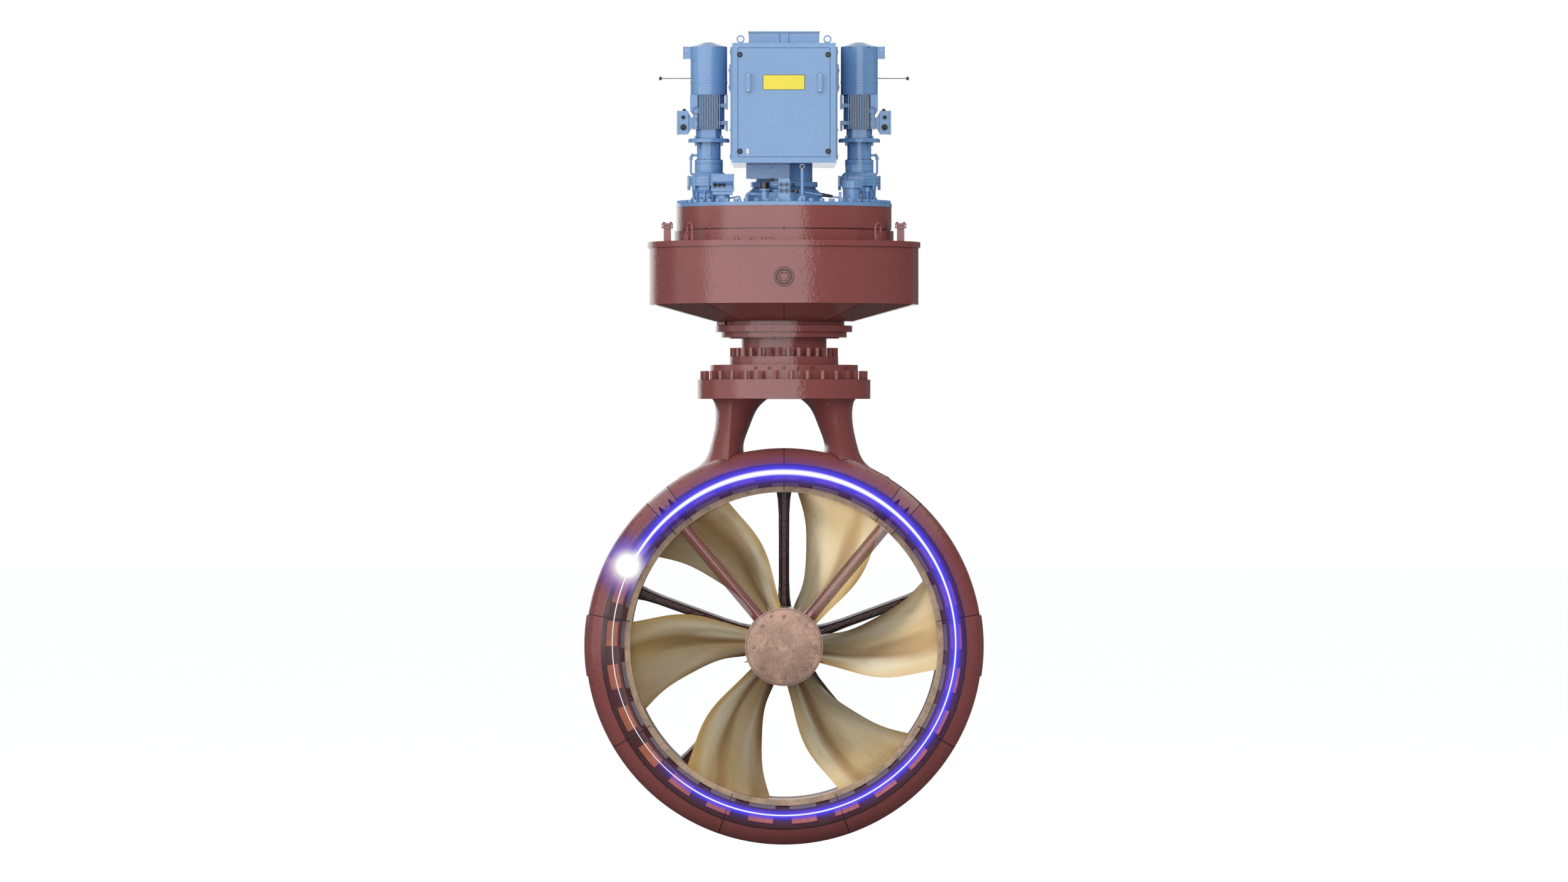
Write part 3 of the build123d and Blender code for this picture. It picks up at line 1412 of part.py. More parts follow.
# Terminal boxes: the main one on its funnel beside each frame, the fan's one at the top of each cowl
with BuildPart() as terminal_boxes:
    for side in sides.values():
        outward = Align.MIN if side > 0 else Align.MAX
        with Locations((side * (motor_x + terminal_face), 0, terminal_low)):
            Box(terminal_w - terminal_lid_t, terminal_d, terminal_h, align=(outward, Align.CENTER, Align.MIN))
        with Locations((side * (motor_x + terminal_face + terminal_w - terminal_lid_t), 0, terminal_low)):
            with Locations((0, 0, -terminal_lid_lip)):
                lid_align = (outward, Align.CENTER, Align.MIN)
                lid_d = terminal_d + 2 * terminal_lid_lip
                Box(terminal_lid_t, lid_d, terminal_h + 2 * terminal_lid_lip, align=lid_align)
        with BuildSketch(upright_plane(side * (motor_x + terminal_face))):
            with BuildLine():
                Polyline(
                    (0, terminal_low + 6),
                    (0, terminal_low + terminal_h - 8),
                    (-side * terminal_funnel_w, terminal_funnel_high),
                    (-side * terminal_funnel_w, terminal_funnel_low),
                    close=True,
                )
            make_face()
        extrude(amount=terminal_neck_d / 2, both=True)
        with Locations((side * (motor_x + terminal_neck_in), 0, terminal_funnel_low)):
            neck_l = terminal_face - terminal_funnel_w - terminal_neck_in
            neck_align = (outward, Align.CENTER, Align.MIN)
            Box(neck_l, terminal_neck_d, terminal_funnel_high - terminal_funnel_low, align=neck_align)
        with Locations((side * (motor_x + cowl_r - cowl_wall), 0, cowl_high - fan_box_h)):
            Box(fan_box_w, fan_box_d, fan_box_h, align=(outward, Align.CENTER, Align.MIN))
        with Locations((side * (motor_x + cowl_r - cowl_wall + fan_box_w), 0, cowl_high - fan_box_h)):
            with Locations((0, 0, -terminal_lid_lip)):
                lid_d = fan_box_d + 2 * terminal_lid_lip
                Box(fan_box_lid_t, lid_d, fan_box_h + 2 * terminal_lid_lip, align=(outward, Align.CENTER, Align.MIN))
        with Locations((side * motor_x, 0, frame_high)):
            Cylinder(cowl_r, cowl_h, align=UP, mode=Mode.SUBTRACT)
    add(motors, mode=Mode.SUBTRACT)
terminal_boxes.part.label = "terminal_boxes"
export_step(terminal_boxes.part, "parts/terminal_boxes.step")

# Valve manifold block with four ports in front and a union on each side for each row
port_z = cover_top + port_rise
with BuildPart() as valve_manifold:
    with Locations((0, fitting_y, cover_top)):
        Box(manifold_w, manifold_d, manifold_h, align=UP)
    top_edges = valve_manifold.edges().filter_by(Axis.Y).group_by(Axis.Z)[-1]
    chamfer(top_edges, 5)
    with Locations((0, fitting_y - manifold_d / 2, port_z)):
        with GridLocations(port_pitch_x, 0, 2, 1):
            for rise in (-port_pitch_z / 2, port_pitch_z / 2):
                with Locations((0, 0, rise)):
                    Cylinder(port_r, port_boss_h, align=UP, rotation=(90, 0, 0))
                    with Locations((0, port_depth, 0)):
                        bore_l = port_depth + port_boss_h
                        Cylinder(port_bore_r, bore_l, align=UP, rotation=(90, 0, 0), mode=Mode.SUBTRACT)
    for side in sides.values():
        for rise in (-port_pitch_z / 2, port_pitch_z / 2):
            with Locations((side * manifold_w / 2, fitting_y, port_z + rise)):
                Cylinder(union_r, union_l, align=UP, rotation=(0, side * 90, 0))
        with Locations((side * (manifold_w / 2 - union_r), fitting_y, cover_top + manifold_h)):
            Cylinder(union_r * 0.75, union_r * 0.75, align=UP)
valve_manifold.part.label = "valve_manifold"
export_step(valve_manifold.part, "parts/valve_manifold.step")

# Junction box on its pedestal: the glands' face slopes back under the overhanging front
with BuildPart() as junction_box:
    with Locations((junction_x, junction_y, cover_top)):
        Cylinder(junction_post_r, junction_post_h, align=UP)
    base_low = cover_top + junction_post_h
    with Locations((junction_x, junction_y, base_low)):
        Box(junction_base_w, junction_base_w - 14, junction_base_h, align=UP)
    with Locations((junction_x, junction_y, base_low + junction_base_h)):
        Box(junction_rim_w, junction_rim_w - 16, junction_rim_h, align=UP)
    housing_low = base_low + junction_base_h + junction_rim_h
    with BuildSketch(Plane.YZ.offset(junction_x)) as junction_section:
        with BuildLine():
            Polyline(
                (junction_y - junction_recess, housing_low),
                (junction_y + junction_front, housing_low),
                (junction_y + junction_front, housing_low + junction_h),
                (junction_y - junction_front, housing_low + junction_h),
                (junction_y - junction_front, housing_low + junction_sill_h + junction_slope_h),
                (junction_y - junction_recess, housing_low + junction_sill_h),
                close=True,
            )
        make_face()
    extrude(amount=junction_base_w / 2, both=True)
    for side in sides.values():
        with Locations((junction_x + side * junction_base_w / 2, junction_y, housing_low)):
            cheek_align = (Align.MIN if side > 0 else Align.MAX, Align.CENTER, Align.MIN)
            Box(junction_cheek_t, 2 * junction_front + 4, junction_h + 2, align=cheek_align)
junction_box.part.label = "junction_box"
export_step(junction_box.part, "parts/junction_box.step")

# Oil filter: flanged head on a round body
with BuildPart() as oil_filter:
    with Locations((filter_x, filter_y, cover_top)):
        Cylinder(filter_body_r, filter_body_h, align=UP)
    with Locations((filter_x, filter_y, cover_top + filter_body_h)):
        Cylinder(filter_head_r, filter_head_h, align=UP)
    with Locations((filter_x, filter_y, cover_top + filter_body_h + filter_head_h)):
        with PolarLocations(filter_bolt_circle_r, filter_bolt_count):
            Cylinder(6, 8, align=UP)
        with PolarLocations(filter_head_r - 2, filter_bolt_count, start_angle=22.5):
            Box(12, 14, filter_head_h, align=DOWN)
oil_filter.part.label = "oil_filter"
export_step(oil_filter.part, "parts/oil_filter.step")

# Breather: a filler pipe with a flanged neck and a round cap
with BuildPart() as breather_cap:
    with BuildSketch(upright_plane(breather_x, fitting_y)):
        with BuildLine():
            flange_low = cover_top + breather_tube_h
            neck_low = flange_low + breather_flange_h
            head_low = neck_low + breather_neck_h
            Polyline(
                (0, cover_top),
                (breather_tube_r, cover_top),
                (breather_tube_r, flange_low),
                (breather_flange_r, flange_low),
                (breather_flange_r, neck_low),
                (breather_tube_r, neck_low),
                (breather_tube_r, head_low),
                (breather_head_r, head_low),
                (breather_head_r, head_low + breather_head_h - 3),
                (breather_head_r - 3, head_low + breather_head_h),
                (0, head_low + breather_head_h),
                close=True,
            )
        make_face()
    revolve(axis=Axis((breather_x, fitting_y, cover_top), (0, 0, 1)))
breather_cap.part.label = "breather_cap"
export_step(breather_cap.part, "parts/breather_cap.step")

# Dipstick tube and the dipstick that lifts out of it
tube_top = cover_top + dipstick_tube_h
with BuildPart() as dipstick_tube:
    with Locations((dipstick_x, dipstick_y, cover_top)):
        Cylinder(dipstick_tube_r, dipstick_tube_h, align=UP)
        Box(dipstick_base_w, dipstick_base_w, dipstick_base_h, align=UP)
        Cylinder(dipstick_r + running_gap, dipstick_tube_h, align=UP, mode=Mode.SUBTRACT)
dipstick_tube.part.label = "dipstick_tube"
export_step(dipstick_tube.part, "parts/dipstick_tube.step")

with BuildPart() as dipstick:
    with Locations((dipstick_x, dipstick_y, cover_top + 2)):
        Cylinder(dipstick_r, dipstick_tube_h, align=UP)
    with Locations((dipstick_x, dipstick_y, tube_top + moving_gap)):
        Cylinder(dipstick_cap_r, dipstick_cap_h, align=UP)
    with Locations((dipstick_x, dipstick_y, tube_top + dipstick_cap_h + dipstick_ring_r)):
        Torus(dipstick_ring_r - dipstick_wire_r, dipstick_wire_r, rotation=(90, 0, 0))
dipstick.part.label = "dipstick"
export_step(dipstick.part, "parts/dipstick.step")

# Pipework: the vent pipe beside each gearbox and the oil pipes on the cover plate
vent_pipe_z = lantern_high - vent_pipe_rise
oil_pipes = [
    [
        (breather_x - breather_tube_r, fitting_y, cover_top + 46),
        (breather_x - 112, fitting_y, cover_top + 46),
        (breather_x - 124, fitting_y, cover_top),
    ],
    [
        (manifold_w / 2 + union_l, fitting_y, port_z - port_pitch_z / 2),
        (manifold_w / 2 + union_l + 22, fitting_y, port_z - port_pitch_z / 2),
        (224, -560, cover_top + 42),
        (test_post_x - test_post_w / 2, test_post_y, cover_top + 27),
    ],
    [
        (-manifold_w / 2 - union_l, fitting_y, port_z + port_pitch_z / 2),
        (-manifold_w / 2 - union_l - 14, fitting_y, port_z + port_pitch_z / 2),
        (-manifold_w / 2 - union_l - 14, fitting_y, port_z + port_pitch_z / 2 + 24),
    ],
    [
        (-manifold_w / 2 - union_l, fitting_y, port_z - port_pitch_z / 2),
        (-manifold_w / 2 - union_l - 26, fitting_y, port_z - port_pitch_z / 2),
        (-manifold_w / 2 - union_l - 26, fitting_y, cover_top),
    ],
    [
        (junction_x + junction_post_r - 2, junction_y, cover_top + 26),
        (junction_x + junction_post_r + 60, junction_y, cover_top + 38),
        (junction_x + junction_post_r + 70, junction_y, cover_top),
    ],
]
with BuildPart() as pipework:
    for side in sides.values():
        elbow_x = side * (motor_x + vent_pipe_x)
        with BuildLine():
            FilletPolyline(
                (side * (motor_x + gearbox_drum_r), 0, case_high + 8),
                (elbow_x, 0, case_high + 22),
                (elbow_x, 0, vent_pipe_z),
                (side * (motor_x + lantern_r), 0, vent_pipe_z),
                radius=10,
            )
        with BuildSketch(Plane(origin=(side * (motor_x + gearbox_drum_r), 0, case_high + 8), z_dir=(side, 0, 0.6))):
            Circle(vent_pipe_r)
        sweep()
        for turn, reach in ((0, 26), (side * 90, 14)):
            with Locations((elbow_x, 0, vent_pipe_z)):
                with Locations(Location((0, 0, 0), (0, turn, 0))):
                    with Locations((0, 0, -reach)):
                        Cylinder(vent_pipe_nut_r, 10, align=UP)
    for route in oil_pipes:
        start = Vector(route[0])
        with BuildLine():
            FilletPolyline(*route, radius=9)
        with BuildSketch(Plane(origin=start, z_dir=Vector(route[1]) - start)):
            Circle(oil_pipe_r)
        sweep()
    with Locations((test_post_x, test_post_y, cover_top)):
        Box(test_post_w, test_post_w, test_post_h, align=UP)
    with Locations((breather_x - 70, fitting_y, cover_top + 46)):
        Cylinder(drain_pipe_r + 3, 34, rotation=(0, 90, 0))
    add([*gearboxes, top_cover.part, junction_box.part], mode=Mode.SUBTRACT)
pipework.part.label = "pipework"
export_step(pipework.part, "parts/pipework.step")
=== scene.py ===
import json
from math import atan2, cos, pi, radians, sin, sqrt, tan

import bmesh
import bpy
from bpy.props import FloatProperty, FloatVectorProperty, PointerProperty
from mathutils import Matrix, Vector


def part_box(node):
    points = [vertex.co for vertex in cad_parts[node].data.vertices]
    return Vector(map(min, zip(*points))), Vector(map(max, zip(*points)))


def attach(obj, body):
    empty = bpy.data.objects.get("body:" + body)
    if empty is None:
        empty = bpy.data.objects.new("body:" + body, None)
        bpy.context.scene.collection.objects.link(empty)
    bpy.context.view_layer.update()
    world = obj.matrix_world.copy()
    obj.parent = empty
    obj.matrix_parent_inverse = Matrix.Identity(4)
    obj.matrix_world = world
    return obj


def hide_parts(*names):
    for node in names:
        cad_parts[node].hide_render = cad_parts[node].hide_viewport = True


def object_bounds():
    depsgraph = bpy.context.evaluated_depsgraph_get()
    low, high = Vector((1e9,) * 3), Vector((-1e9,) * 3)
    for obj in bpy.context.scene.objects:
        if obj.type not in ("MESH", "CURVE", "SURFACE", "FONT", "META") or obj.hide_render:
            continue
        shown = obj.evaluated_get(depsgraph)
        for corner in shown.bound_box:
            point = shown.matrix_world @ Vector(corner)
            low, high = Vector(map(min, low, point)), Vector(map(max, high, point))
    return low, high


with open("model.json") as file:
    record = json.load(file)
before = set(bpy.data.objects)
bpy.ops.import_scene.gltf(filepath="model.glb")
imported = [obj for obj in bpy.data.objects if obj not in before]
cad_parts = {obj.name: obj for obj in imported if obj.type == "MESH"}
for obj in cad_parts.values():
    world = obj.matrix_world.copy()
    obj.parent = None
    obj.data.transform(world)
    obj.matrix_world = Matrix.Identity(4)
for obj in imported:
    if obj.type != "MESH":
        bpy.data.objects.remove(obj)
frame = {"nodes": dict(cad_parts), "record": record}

bl_info = {
    "name": "Rim-drive thruster finish",
    "version": (1, 0, 0),
    "blender": (4, 5, 0),
    "location": "View3D > Sidebar > Thruster",
    "description": "Paints, bronzes, small fittings and the studio of the rim-drive thruster",
    "category": "Object",
}

cad_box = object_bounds()

MM = 0.001
RIGHT, UP, FRONT = (1, 0, 0), (0, 0, 1), (0, -1, 0)
SIDES = {"left": -1, "right": 1}
BLADES = 6
NOSE_STEPS = 12  # straight pieces in the inner arc of the front casting's profile
LINER = 35 * MM  # from the duct's wall to the outside of the rotor ring
LIP = 85 * MM  # from the duct's wall to the foremost line of the casting
HANDLE = 32 * MM  # how far the cabinet's handles stand before its cover
CAP_RIM = 12 * MM  # from the hub cap's back to the plane its fittings are measured from

# Places read from the frame: the shaft's height, and radii and places along the shaft
cap_low, cap_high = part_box("hub_cap")
nozzle_z = (cap_low.z + cap_high.z) / 2
cap_y = cap_high.y - CAP_RIM
nose_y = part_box("motor_cover")[0].y
nose_back_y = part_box("motor_cover")[1].y
band_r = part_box("motor_cover")[1].x
rotor_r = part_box("rotor_ring")[1].x
duct_r = rotor_r - LINER
lip_r = duct_r + LIP
nozzle_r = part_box("nozzle_shell")[1].x
hub_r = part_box("propeller_hub")[1].x
cover_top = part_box("top_cover")[1].z
door_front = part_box("cabinet_cover")[0].y + HANDLE
motor_x = (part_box("fan_cowl_right")[0].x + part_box("fan_cowl_right")[1].x) / 2


def display(red, green, blue):
    """Linear colour for a colour given as it should show on the screen, 0 to 255."""
    linear = [c / 255 / 12.92 if c / 255 <= 0.04045 else ((c / 255 + 0.055) / 1.055) ** 2.4
              for c in (red, green, blue)]
    return (*linear, 1.0)


def toned(colour, factor, lift=0.0):
    """A colour made lighter or darker."""
    return (*(min(1.0, part * factor + lift) for part in colour[:3]), 1.0)


# Colours of the painted shade in the paints' corners and seams
RED_SHADE, BLUE_SHADE = display(34, 10, 9), display(14, 26, 44)


def colour_property(label, note, default):
    return FloatVectorProperty(
        name=label, description=note, subtype="COLOR", size=4, min=0.0, max=1.0, default=default
    )


def number(label, note, default, **more):
    return FloatProperty(name=label, description=note, default=default, **more)


def length(label, note, default):
    return number(label, note, default, min=0.0, unit="LENGTH")


class CoatSettings(bpy.types.PropertyGroup):
    """Colours and texture of the two paints."""

    red: colour_property("Hull red", "Anti-fouling paint below and at the hull", display(141, 80, 78))
    blue: colour_property("Machinery blue", "Enamel of the deck's machinery", display(118, 158, 204))
    ripple: length("Ripple", "Width of one ripple of the rolled coat", 30 * MM)
    depth: length("Ripple depth", "Height of a ripple", 1.5 * MM)
    # Reach of the painted shade in corners and seams
    dirt: length("Corner reach", "How far the dark of a corner reaches", 14 * MM)


class BronzeSettings(bpy.types.PropertyGroup):
    """Colours of the propeller and of the bare castings."""

    # Pale bands of the blades: painted highlights
    pale: colour_property("Pale bronze", "Palest stretches of the blades", display(244, 230, 194))
    polished: colour_property("Polished bronze", "Bright face of the blades", display(228, 204, 156))
    gold: colour_property("Golden bronze", "Golden stretches of the blades", display(222, 184, 116))
    # Brown bands of the blades: painted dark reflections
    streak: colour_property("Streak", "Brown of the streaks on the blades", display(172, 138, 94))
    dull: colour_property("Dull bronze", "Bare ring at the duct", display(192, 164, 136))
    cap: colour_property("Cap bronze", "Weathered hub cap", display(176, 142, 124))
    copper: colour_property("Copper", "Windings of the coils", display(226, 142, 104))


class GlowSettings(bpy.types.PropertyGroup):
    """The glow that shows the field running round the rim motor."""

    halo: colour_property("Halo", "Colour beside the bright line", display(72, 62, 235))
    core: colour_property("Core", "Colour of the bright line", display(255, 255, 255))
    radius: length("Radius", "Radius of the bright line", 1060 * MM)
    rise: length("Rise", "How far the bright line's middle is above the shaft", 20 * MM)
    thin: length("Thin line", "Half width of the line at the bottom", 5 * MM)
    thick: length("Thick line", "Half width of the line at the top", 18 * MM)
    narrow: length("Narrow halo", "Half width of the halo at the bottom", 46 * MM)
    wide: length("Wide halo", "Half width of the halo at the top", 82 * MM)
    flare: length("Flare", "Radius of the bright spot at the head", 108 * MM)
    flare_out: length("Flare offset", "How far the flare's middle is outside the line", 28 * MM)
    head: number("Head", "Clock angle of the flare", radians(-62.6), subtype="ANGLE")
    tail: number("Tail", "Clock angle where the halo has faded", radians(-132), subtype="ANGLE")
    lift: length("Lift", "Gap between the glow and the casting under it", 2.5 * MM)


class StudioSettings(bpy.types.PropertyGroup):
    """Camera, lamps, flags and floor."""

    distance: length("Camera distance", "From the steering axis", 54.6)
    eye: number("Eye height", "Height of the camera", -1.198, unit="LENGTH")
    lens: number("Lens", "Focal length", 201.6, unit="CAMERA")
    drop: length("Floor drop", "Gap between the nozzle and the floor", 0.42)
    panel: number("Panel", "Power of the large panel", 2400.0, unit="POWER")
    edge: number("Panel edge", "Where the panel ends, right of the camera", radians(22), subtype="ANGLE")
    fill: number("Fill", "Power of each fill panel", 420.0, unit="POWER")
    air: number("Air", "Strength of the world's light", 0.4)
    floor_white: number("Floor white", "White added to the floor as seen", 0.87)
    gloss_white: number("Gloss white", "Share of the white that gloss shows", 0.7)


SETTINGS = {
    "thruster_coats": CoatSettings,
    "thruster_bronzes": BronzeSettings,
    "thruster_glow": GlowSettings,
    "thruster_studio": StudioSettings,
}


# Node trees
class Value:
    """An output in a node tree, so that formulas can be written as formulas."""

    def __init__(self, tree, socket):
        self.tree, self.socket = tree, socket

    def __add__(self, other):
        return self.tree.math("ADD", self, other)

    def __sub__(self, other):
        return self.tree.math("SUBTRACT", self, other)

    def __rsub__(self, other):
        return self.tree.math("SUBTRACT", other, self)

    def __mul__(self, other):
        return self.tree.math("MULTIPLY", self, other)

    def __pow__(self, other):
        return self.tree.math("POWER", self, other)


class Tree:
    """A node tree and short ways to build it."""

    def __init__(self, tree):
        self.tree = tree

    def feed(self, node, **inputs):
        """Sets or links inputs; underscores stand for spaces, and n2 for the input at index 2."""
        for key, value in inputs.items():
            numbered = key[0] == "n" and key[1:].isdigit()
            socket = node.inputs[int(key[1:]) if numbered else key.replace("_", " ")]
            if isinstance(value, Value):
                self.tree.links.new(value.socket, socket)
            else:
                socket.default_value = value
        return node

    def node(self, kind, settings=None, **inputs):
        """A new node with its settings and inputs."""
        node = self.tree.nodes.new(kind)
        for key, value in (settings or {}).items():
            setattr(node, key, value)
        return self.feed(node, **inputs)

    def value(self, kind, settings=None, output=0, **inputs):
        """An output of a new node."""
        return Value(self, self.node(kind, settings, **inputs).outputs[output])

    def group(self, name, **inputs):
        """All outputs of a shader group."""
        node = self.node("ShaderNodeGroup", {"node_tree": bpy.data.node_groups[name]}, **inputs)
        return [Value(self, socket) for socket in node.outputs]

    def split(self, vector):
        """The three parts of a vector."""
        node = self.node("ShaderNodeSeparateXYZ", Vector=vector)
        return [Value(self, socket) for socket in node.outputs]

    def math(self, operation, *values):
        inputs = {f"n{index}": value for index, value in enumerate(values)}
        return self.value("ShaderNodeMath", {"operation": operation}, **inputs)

    def step(self, value, low, high):
        """0 below low, 1 above high, smooth between."""
        smooth = {"interpolation_type": "SMOOTHSTEP"}
        return self.value("ShaderNodeMapRange", smooth, Value=value, From_Min=low, From_Max=high)

    def mix(self, factor, first, second, blend="MIX"):
        """A colour between two colours."""
        settings = {"data_type": "RGBA", "blend_type": blend}
        return self.value("ShaderNodeMix", settings, 2, n0=factor, n6=first, n7=second)

    def noise(self, place, scale, detail, rough=0.5, output=0, distortion=0.0):
        return self.value(
            "ShaderNodeTexNoise", None, output,
            Vector=place, Scale=scale, Detail=detail, Roughness=rough, Distortion=distortion,
        )

    def bump(self, height, distance, strength):
        return self.value("ShaderNodeBump", Height=height, Distance=distance, Strength=strength)

    def shaded(self, colour, tone):
        """A colour times a grey tone."""
        grey = self.value("ShaderNodeCombineColor", Red=tone, Green=tone, Blue=tone)
        return self.mix(1.0, colour, grey, "MULTIPLY")


def node_group(name, kind, inputs, outputs):
    """A new group: its tree, its inputs by label and its output node. A socket is given by its kind,
    or by a number as its default."""
    group = bpy.data.node_groups.new(name, kind)
    for way, sockets in (("INPUT", inputs), ("OUTPUT", outputs)):
        for label, given in sockets.items():
            shape = given if isinstance(given, str) else type(given).__name__.title()
            socket = group.interface.new_socket(label, in_out=way, socket_type=f"NodeSocket{shape}")
            if shape is not given:
                socket.default_value = given
    tree = Tree(group)
    source = tree.node("NodeGroupInput")
    ins = {label: Value(tree, source.outputs[label]) for label in inputs}
    return tree, ins, tree.node("NodeGroupOutput")


def rolled_coat_group():
    """Ripples and slow mottling of paint put on with a roller."""
    tree, ins, outs = node_group(
        "Rolled coat", "ShaderNodeTree",
        {"Place": "Vector", "Ripple": 0.016}, {"Height": "Float", "Mottle": "Float"},
    )
    scale = tree.math("DIVIDE", 1.0, ins["Ripple"])
    coarse = tree.noise(ins["Place"], scale, 1.0, 0.4, distortion=1.4)
    fine = tree.noise(ins["Place"], scale * 3.1, 1.0, 0.5, distortion=0.3)
    slow = tree.noise(ins["Place"], 2.6, 3.0, 0.55)
    tree.feed(outs, Height=fine * 0.35 + coarse, Mottle=slow)


def corner_group(name, own):
    """How deep in a corner or a seam a point lies, among all pieces or within its own."""
    tree, ins, outs = node_group(name, "ShaderNodeTree", {"Reach": 0.014}, {"Mask": "Float"})
    probe = {"samples": 6, "only_local": own}
    open_share = tree.value("ShaderNodeAmbientOcclusion", probe, "AO", Distance=ins["Reach"])
    tree.feed(outs, Mask=tree.step(open_share, 0.8, 0.25))


def polar_group():
    """Radius and clock angle about the propeller axis, and the place along it."""
    tree, ins, outs = node_group(
        "About the shaft", "ShaderNodeTree",
        {"Place": "Vector", "Rise": 0.0}, {"Radius": "Float", "Angle": "Float", "Along": "Float"},
    )
    shift = tree.value("ShaderNodeMapping", Vector=ins["Place"], Location=(0.0, 0.0, -nozzle_z))
    x, y, z = tree.split(shift)
    z = z - ins["Rise"]
    radius = tree.math("SQRT", x * x + z * z)
    tree.feed(outs, Radius=radius, Angle=tree.math("ARCTAN2", x, z), Along=y)


def material(name):
    """A new material: its tree, its Principled BSDF and the Object coordinates."""
    made = bpy.data.materials.new(name)
    made.use_nodes = True
    tree = Tree(made.node_tree)
    shader = made.node_tree.nodes["Principled BSDF"]
    return tree, shader, tree.value("ShaderNodeTexCoord", output="Object")


def painted(name, colour, coats, dark, rough=0.16, gloss=0.5, corner="Corner shade", reach=None):
    """Rolled paint: ripples, slow mottling and painted shade in corners and seams."""
    tree, shader, place = material(name)
    height, mottle = tree.group("Rolled coat", Place=place, Ripple=coats.ripple)
    # Painted shade: where the corner mask is 1, the paint turns to the dark shade colour
    mask = tree.group(corner, Reach=reach or coats.dirt)[0]
    shaded = tree.shaded(colour, height * 0.14 + (mottle * 0.2 + 0.81))
    tree.feed(
        shader, Base_Color=tree.mix(mask, shaded, dark), Roughness=mottle * 0.1 + (rough - 0.05),
        Normal=tree.bump(height, coats.depth, 1.0), Specular_IOR_Level=gloss,
    )
    return tree, shader, place


def blade_bronze(bronzes):
    """Polished bronze with soft tones across each blade, which are painted highlights and painted dark
    reflections, and fine streaks that run out along it.
    """
    tree, shader, place = material("blade_bronze")
    radius, angle, along = tree.group("About the shaft", Place=place)
    # The blades' skew as an angle that grows with the radius, then the share of a blade's sector and
    # the blade's number
    skew = radius ** 2.0 * 0.24 - 0.09
    sector = (angle + skew) * (BLADES / (2 * pi)) + BLADES
    chord, blade = tree.math("FRACT", sector), tree.math("FLOOR", sector)
    spot = tree.value("ShaderNodeCombineXYZ", X=chord * 5.0, Y=radius * 1.3, Z=blade * 7.0)
    broad = tree.noise(spot, 1.1, 1.0, 0.4)
    hair = tree.noise(spot, 5.0, 2.0)
    # The bands across each blade are painted: pale ones are painted highlights, brown ones painted dark
    # reflections, between the bronze's own polished and golden tones
    ramp = tree.node("ShaderNodeValToRGB", Fac=broad * 0.34 + (chord - 0.17))
    stops = (
        (0.2, bronzes.streak), (0.34, bronzes.pale), (0.46, bronzes.polished),
        (0.57, bronzes.streak), (0.68, bronzes.pale), (0.8, bronzes.gold),
    )
    elements = ramp.color_ramp.elements
    while len(elements) < len(stops):
        elements.new(0.5)
    for element, (position, colour) in zip(elements, stops):
        element.position = position
        element.color = colour
    ramp.color_ramp.interpolation = "EASE"
    # Golder towards the tips, and painted light that makes the blades lighter on the left, towards the
    # large lamp panel
    tip = tree.step(radius, duct_r * 0.6, duct_r) * 0.5
    painted_left_light = tree.math("COSINE", angle + radians(110))
    colour = tree.mix(tip, Value(tree, ramp.outputs[0]), bronzes.gold)
    tree.feed(
        shader, Base_Color=tree.shaded(colour, painted_left_light * 0.2 + (hair * 0.18 + 0.72)),
        Roughness=hair * 0.12 + 0.22, Normal=tree.bump(hair, 0.3 * MM, 0.3), Metallic=0.4,
    )


def weathered_bronze(name, colour, vein_size, metal):
    """Bare cast bronze with blotches and fine dark veins."""
    tree, shader, place = material(name)
    blotch = tree.noise(place, 9.0, 5.0, 0.62)
    bent = tree.mix(0.12, place, tree.noise(place, 6.0, 3.0, output=1), "LINEAR_LIGHT")
    edges = {"feature": "DISTANCE_TO_EDGE"}
    cells = tree.value("ShaderNodeTexVoronoi", edges, Vector=bent, Scale=1 / vein_size)
    vein = tree.step(cells, 0.05, 0.0) * 0.35
    tone = tree.mix(tree.step(blotch, 0.36, 0.66), toned(colour, 0.76), toned(colour, 1.2))
    tree.feed(
        shader, Base_Color=tree.mix(vein, tone, display(70, 48, 42)), Roughness=blotch * 0.3 + 0.3,
        Normal=tree.bump(blotch, 0.8 * MM, 0.6), Metallic=metal,
    )


def machined(name, colour, rough, metal=1.0, grain=0.004):
    """Turned or drawn metal with fine grain."""
    tree, shader, place = material(name)
    stretch = tree.value("ShaderNodeMapping", Vector=place, Scale=(1.0, 1.0, 9.0))
    lines = tree.noise(stretch, 0.1 / grain, 3.0)
    tree.feed(
        shader, Base_Color=tree.mix(lines, colour, toned(colour, 0.7)), Metallic=metal,
        Roughness=lines * 0.16 + (rough - 0.08), Normal=tree.bump(lines, 0.1 * MM, 0.4),
    )


def moulded(name, colour, rough, speck=0.0015):
    """Moulded plastic or rubber with a fine spark-eroded grain."""
    tree, shader, place = material(name)
    grain = tree.noise(place, 0.5 / speck, 2.0)
    tree.feed(
        shader, Base_Color=tree.mix(grain * 0.5, colour, toned(colour, 1.6, 0.004)),
        Roughness=grain * 0.2 + (rough - 0.1), Normal=tree.bump(grain, 0.1 * MM, 0.5),
    )


def wound_copper(bronzes, pitch=7 * MM):
    """Coil blocks of copper wire, with the turns running round each block; the copper glows a little, as
    painted light.
    """
    tree, shader, place = material("wound_copper")
    radius, angle, along = tree.group("About the shaft", Place=place)
    turns = tree.math("SINE", radius * (2 * pi / pitch))
    blot = tree.noise(place, 26.0, 3.0)
    colour = tree.mix(turns * 0.16 + blot * 0.75, bronzes.copper, display(158, 84, 66))
    # Painted light: the copper glows with its own colour, so the coils behind the cover show bright
    tree.feed(
        shader, Base_Color=colour, Emission_Color=colour, Emission_Strength=0.45, Metallic=0.55,
        Roughness=blot * 0.2 + 0.3, Normal=tree.bump(turns, 0.8 * MM, 0.7),
    )


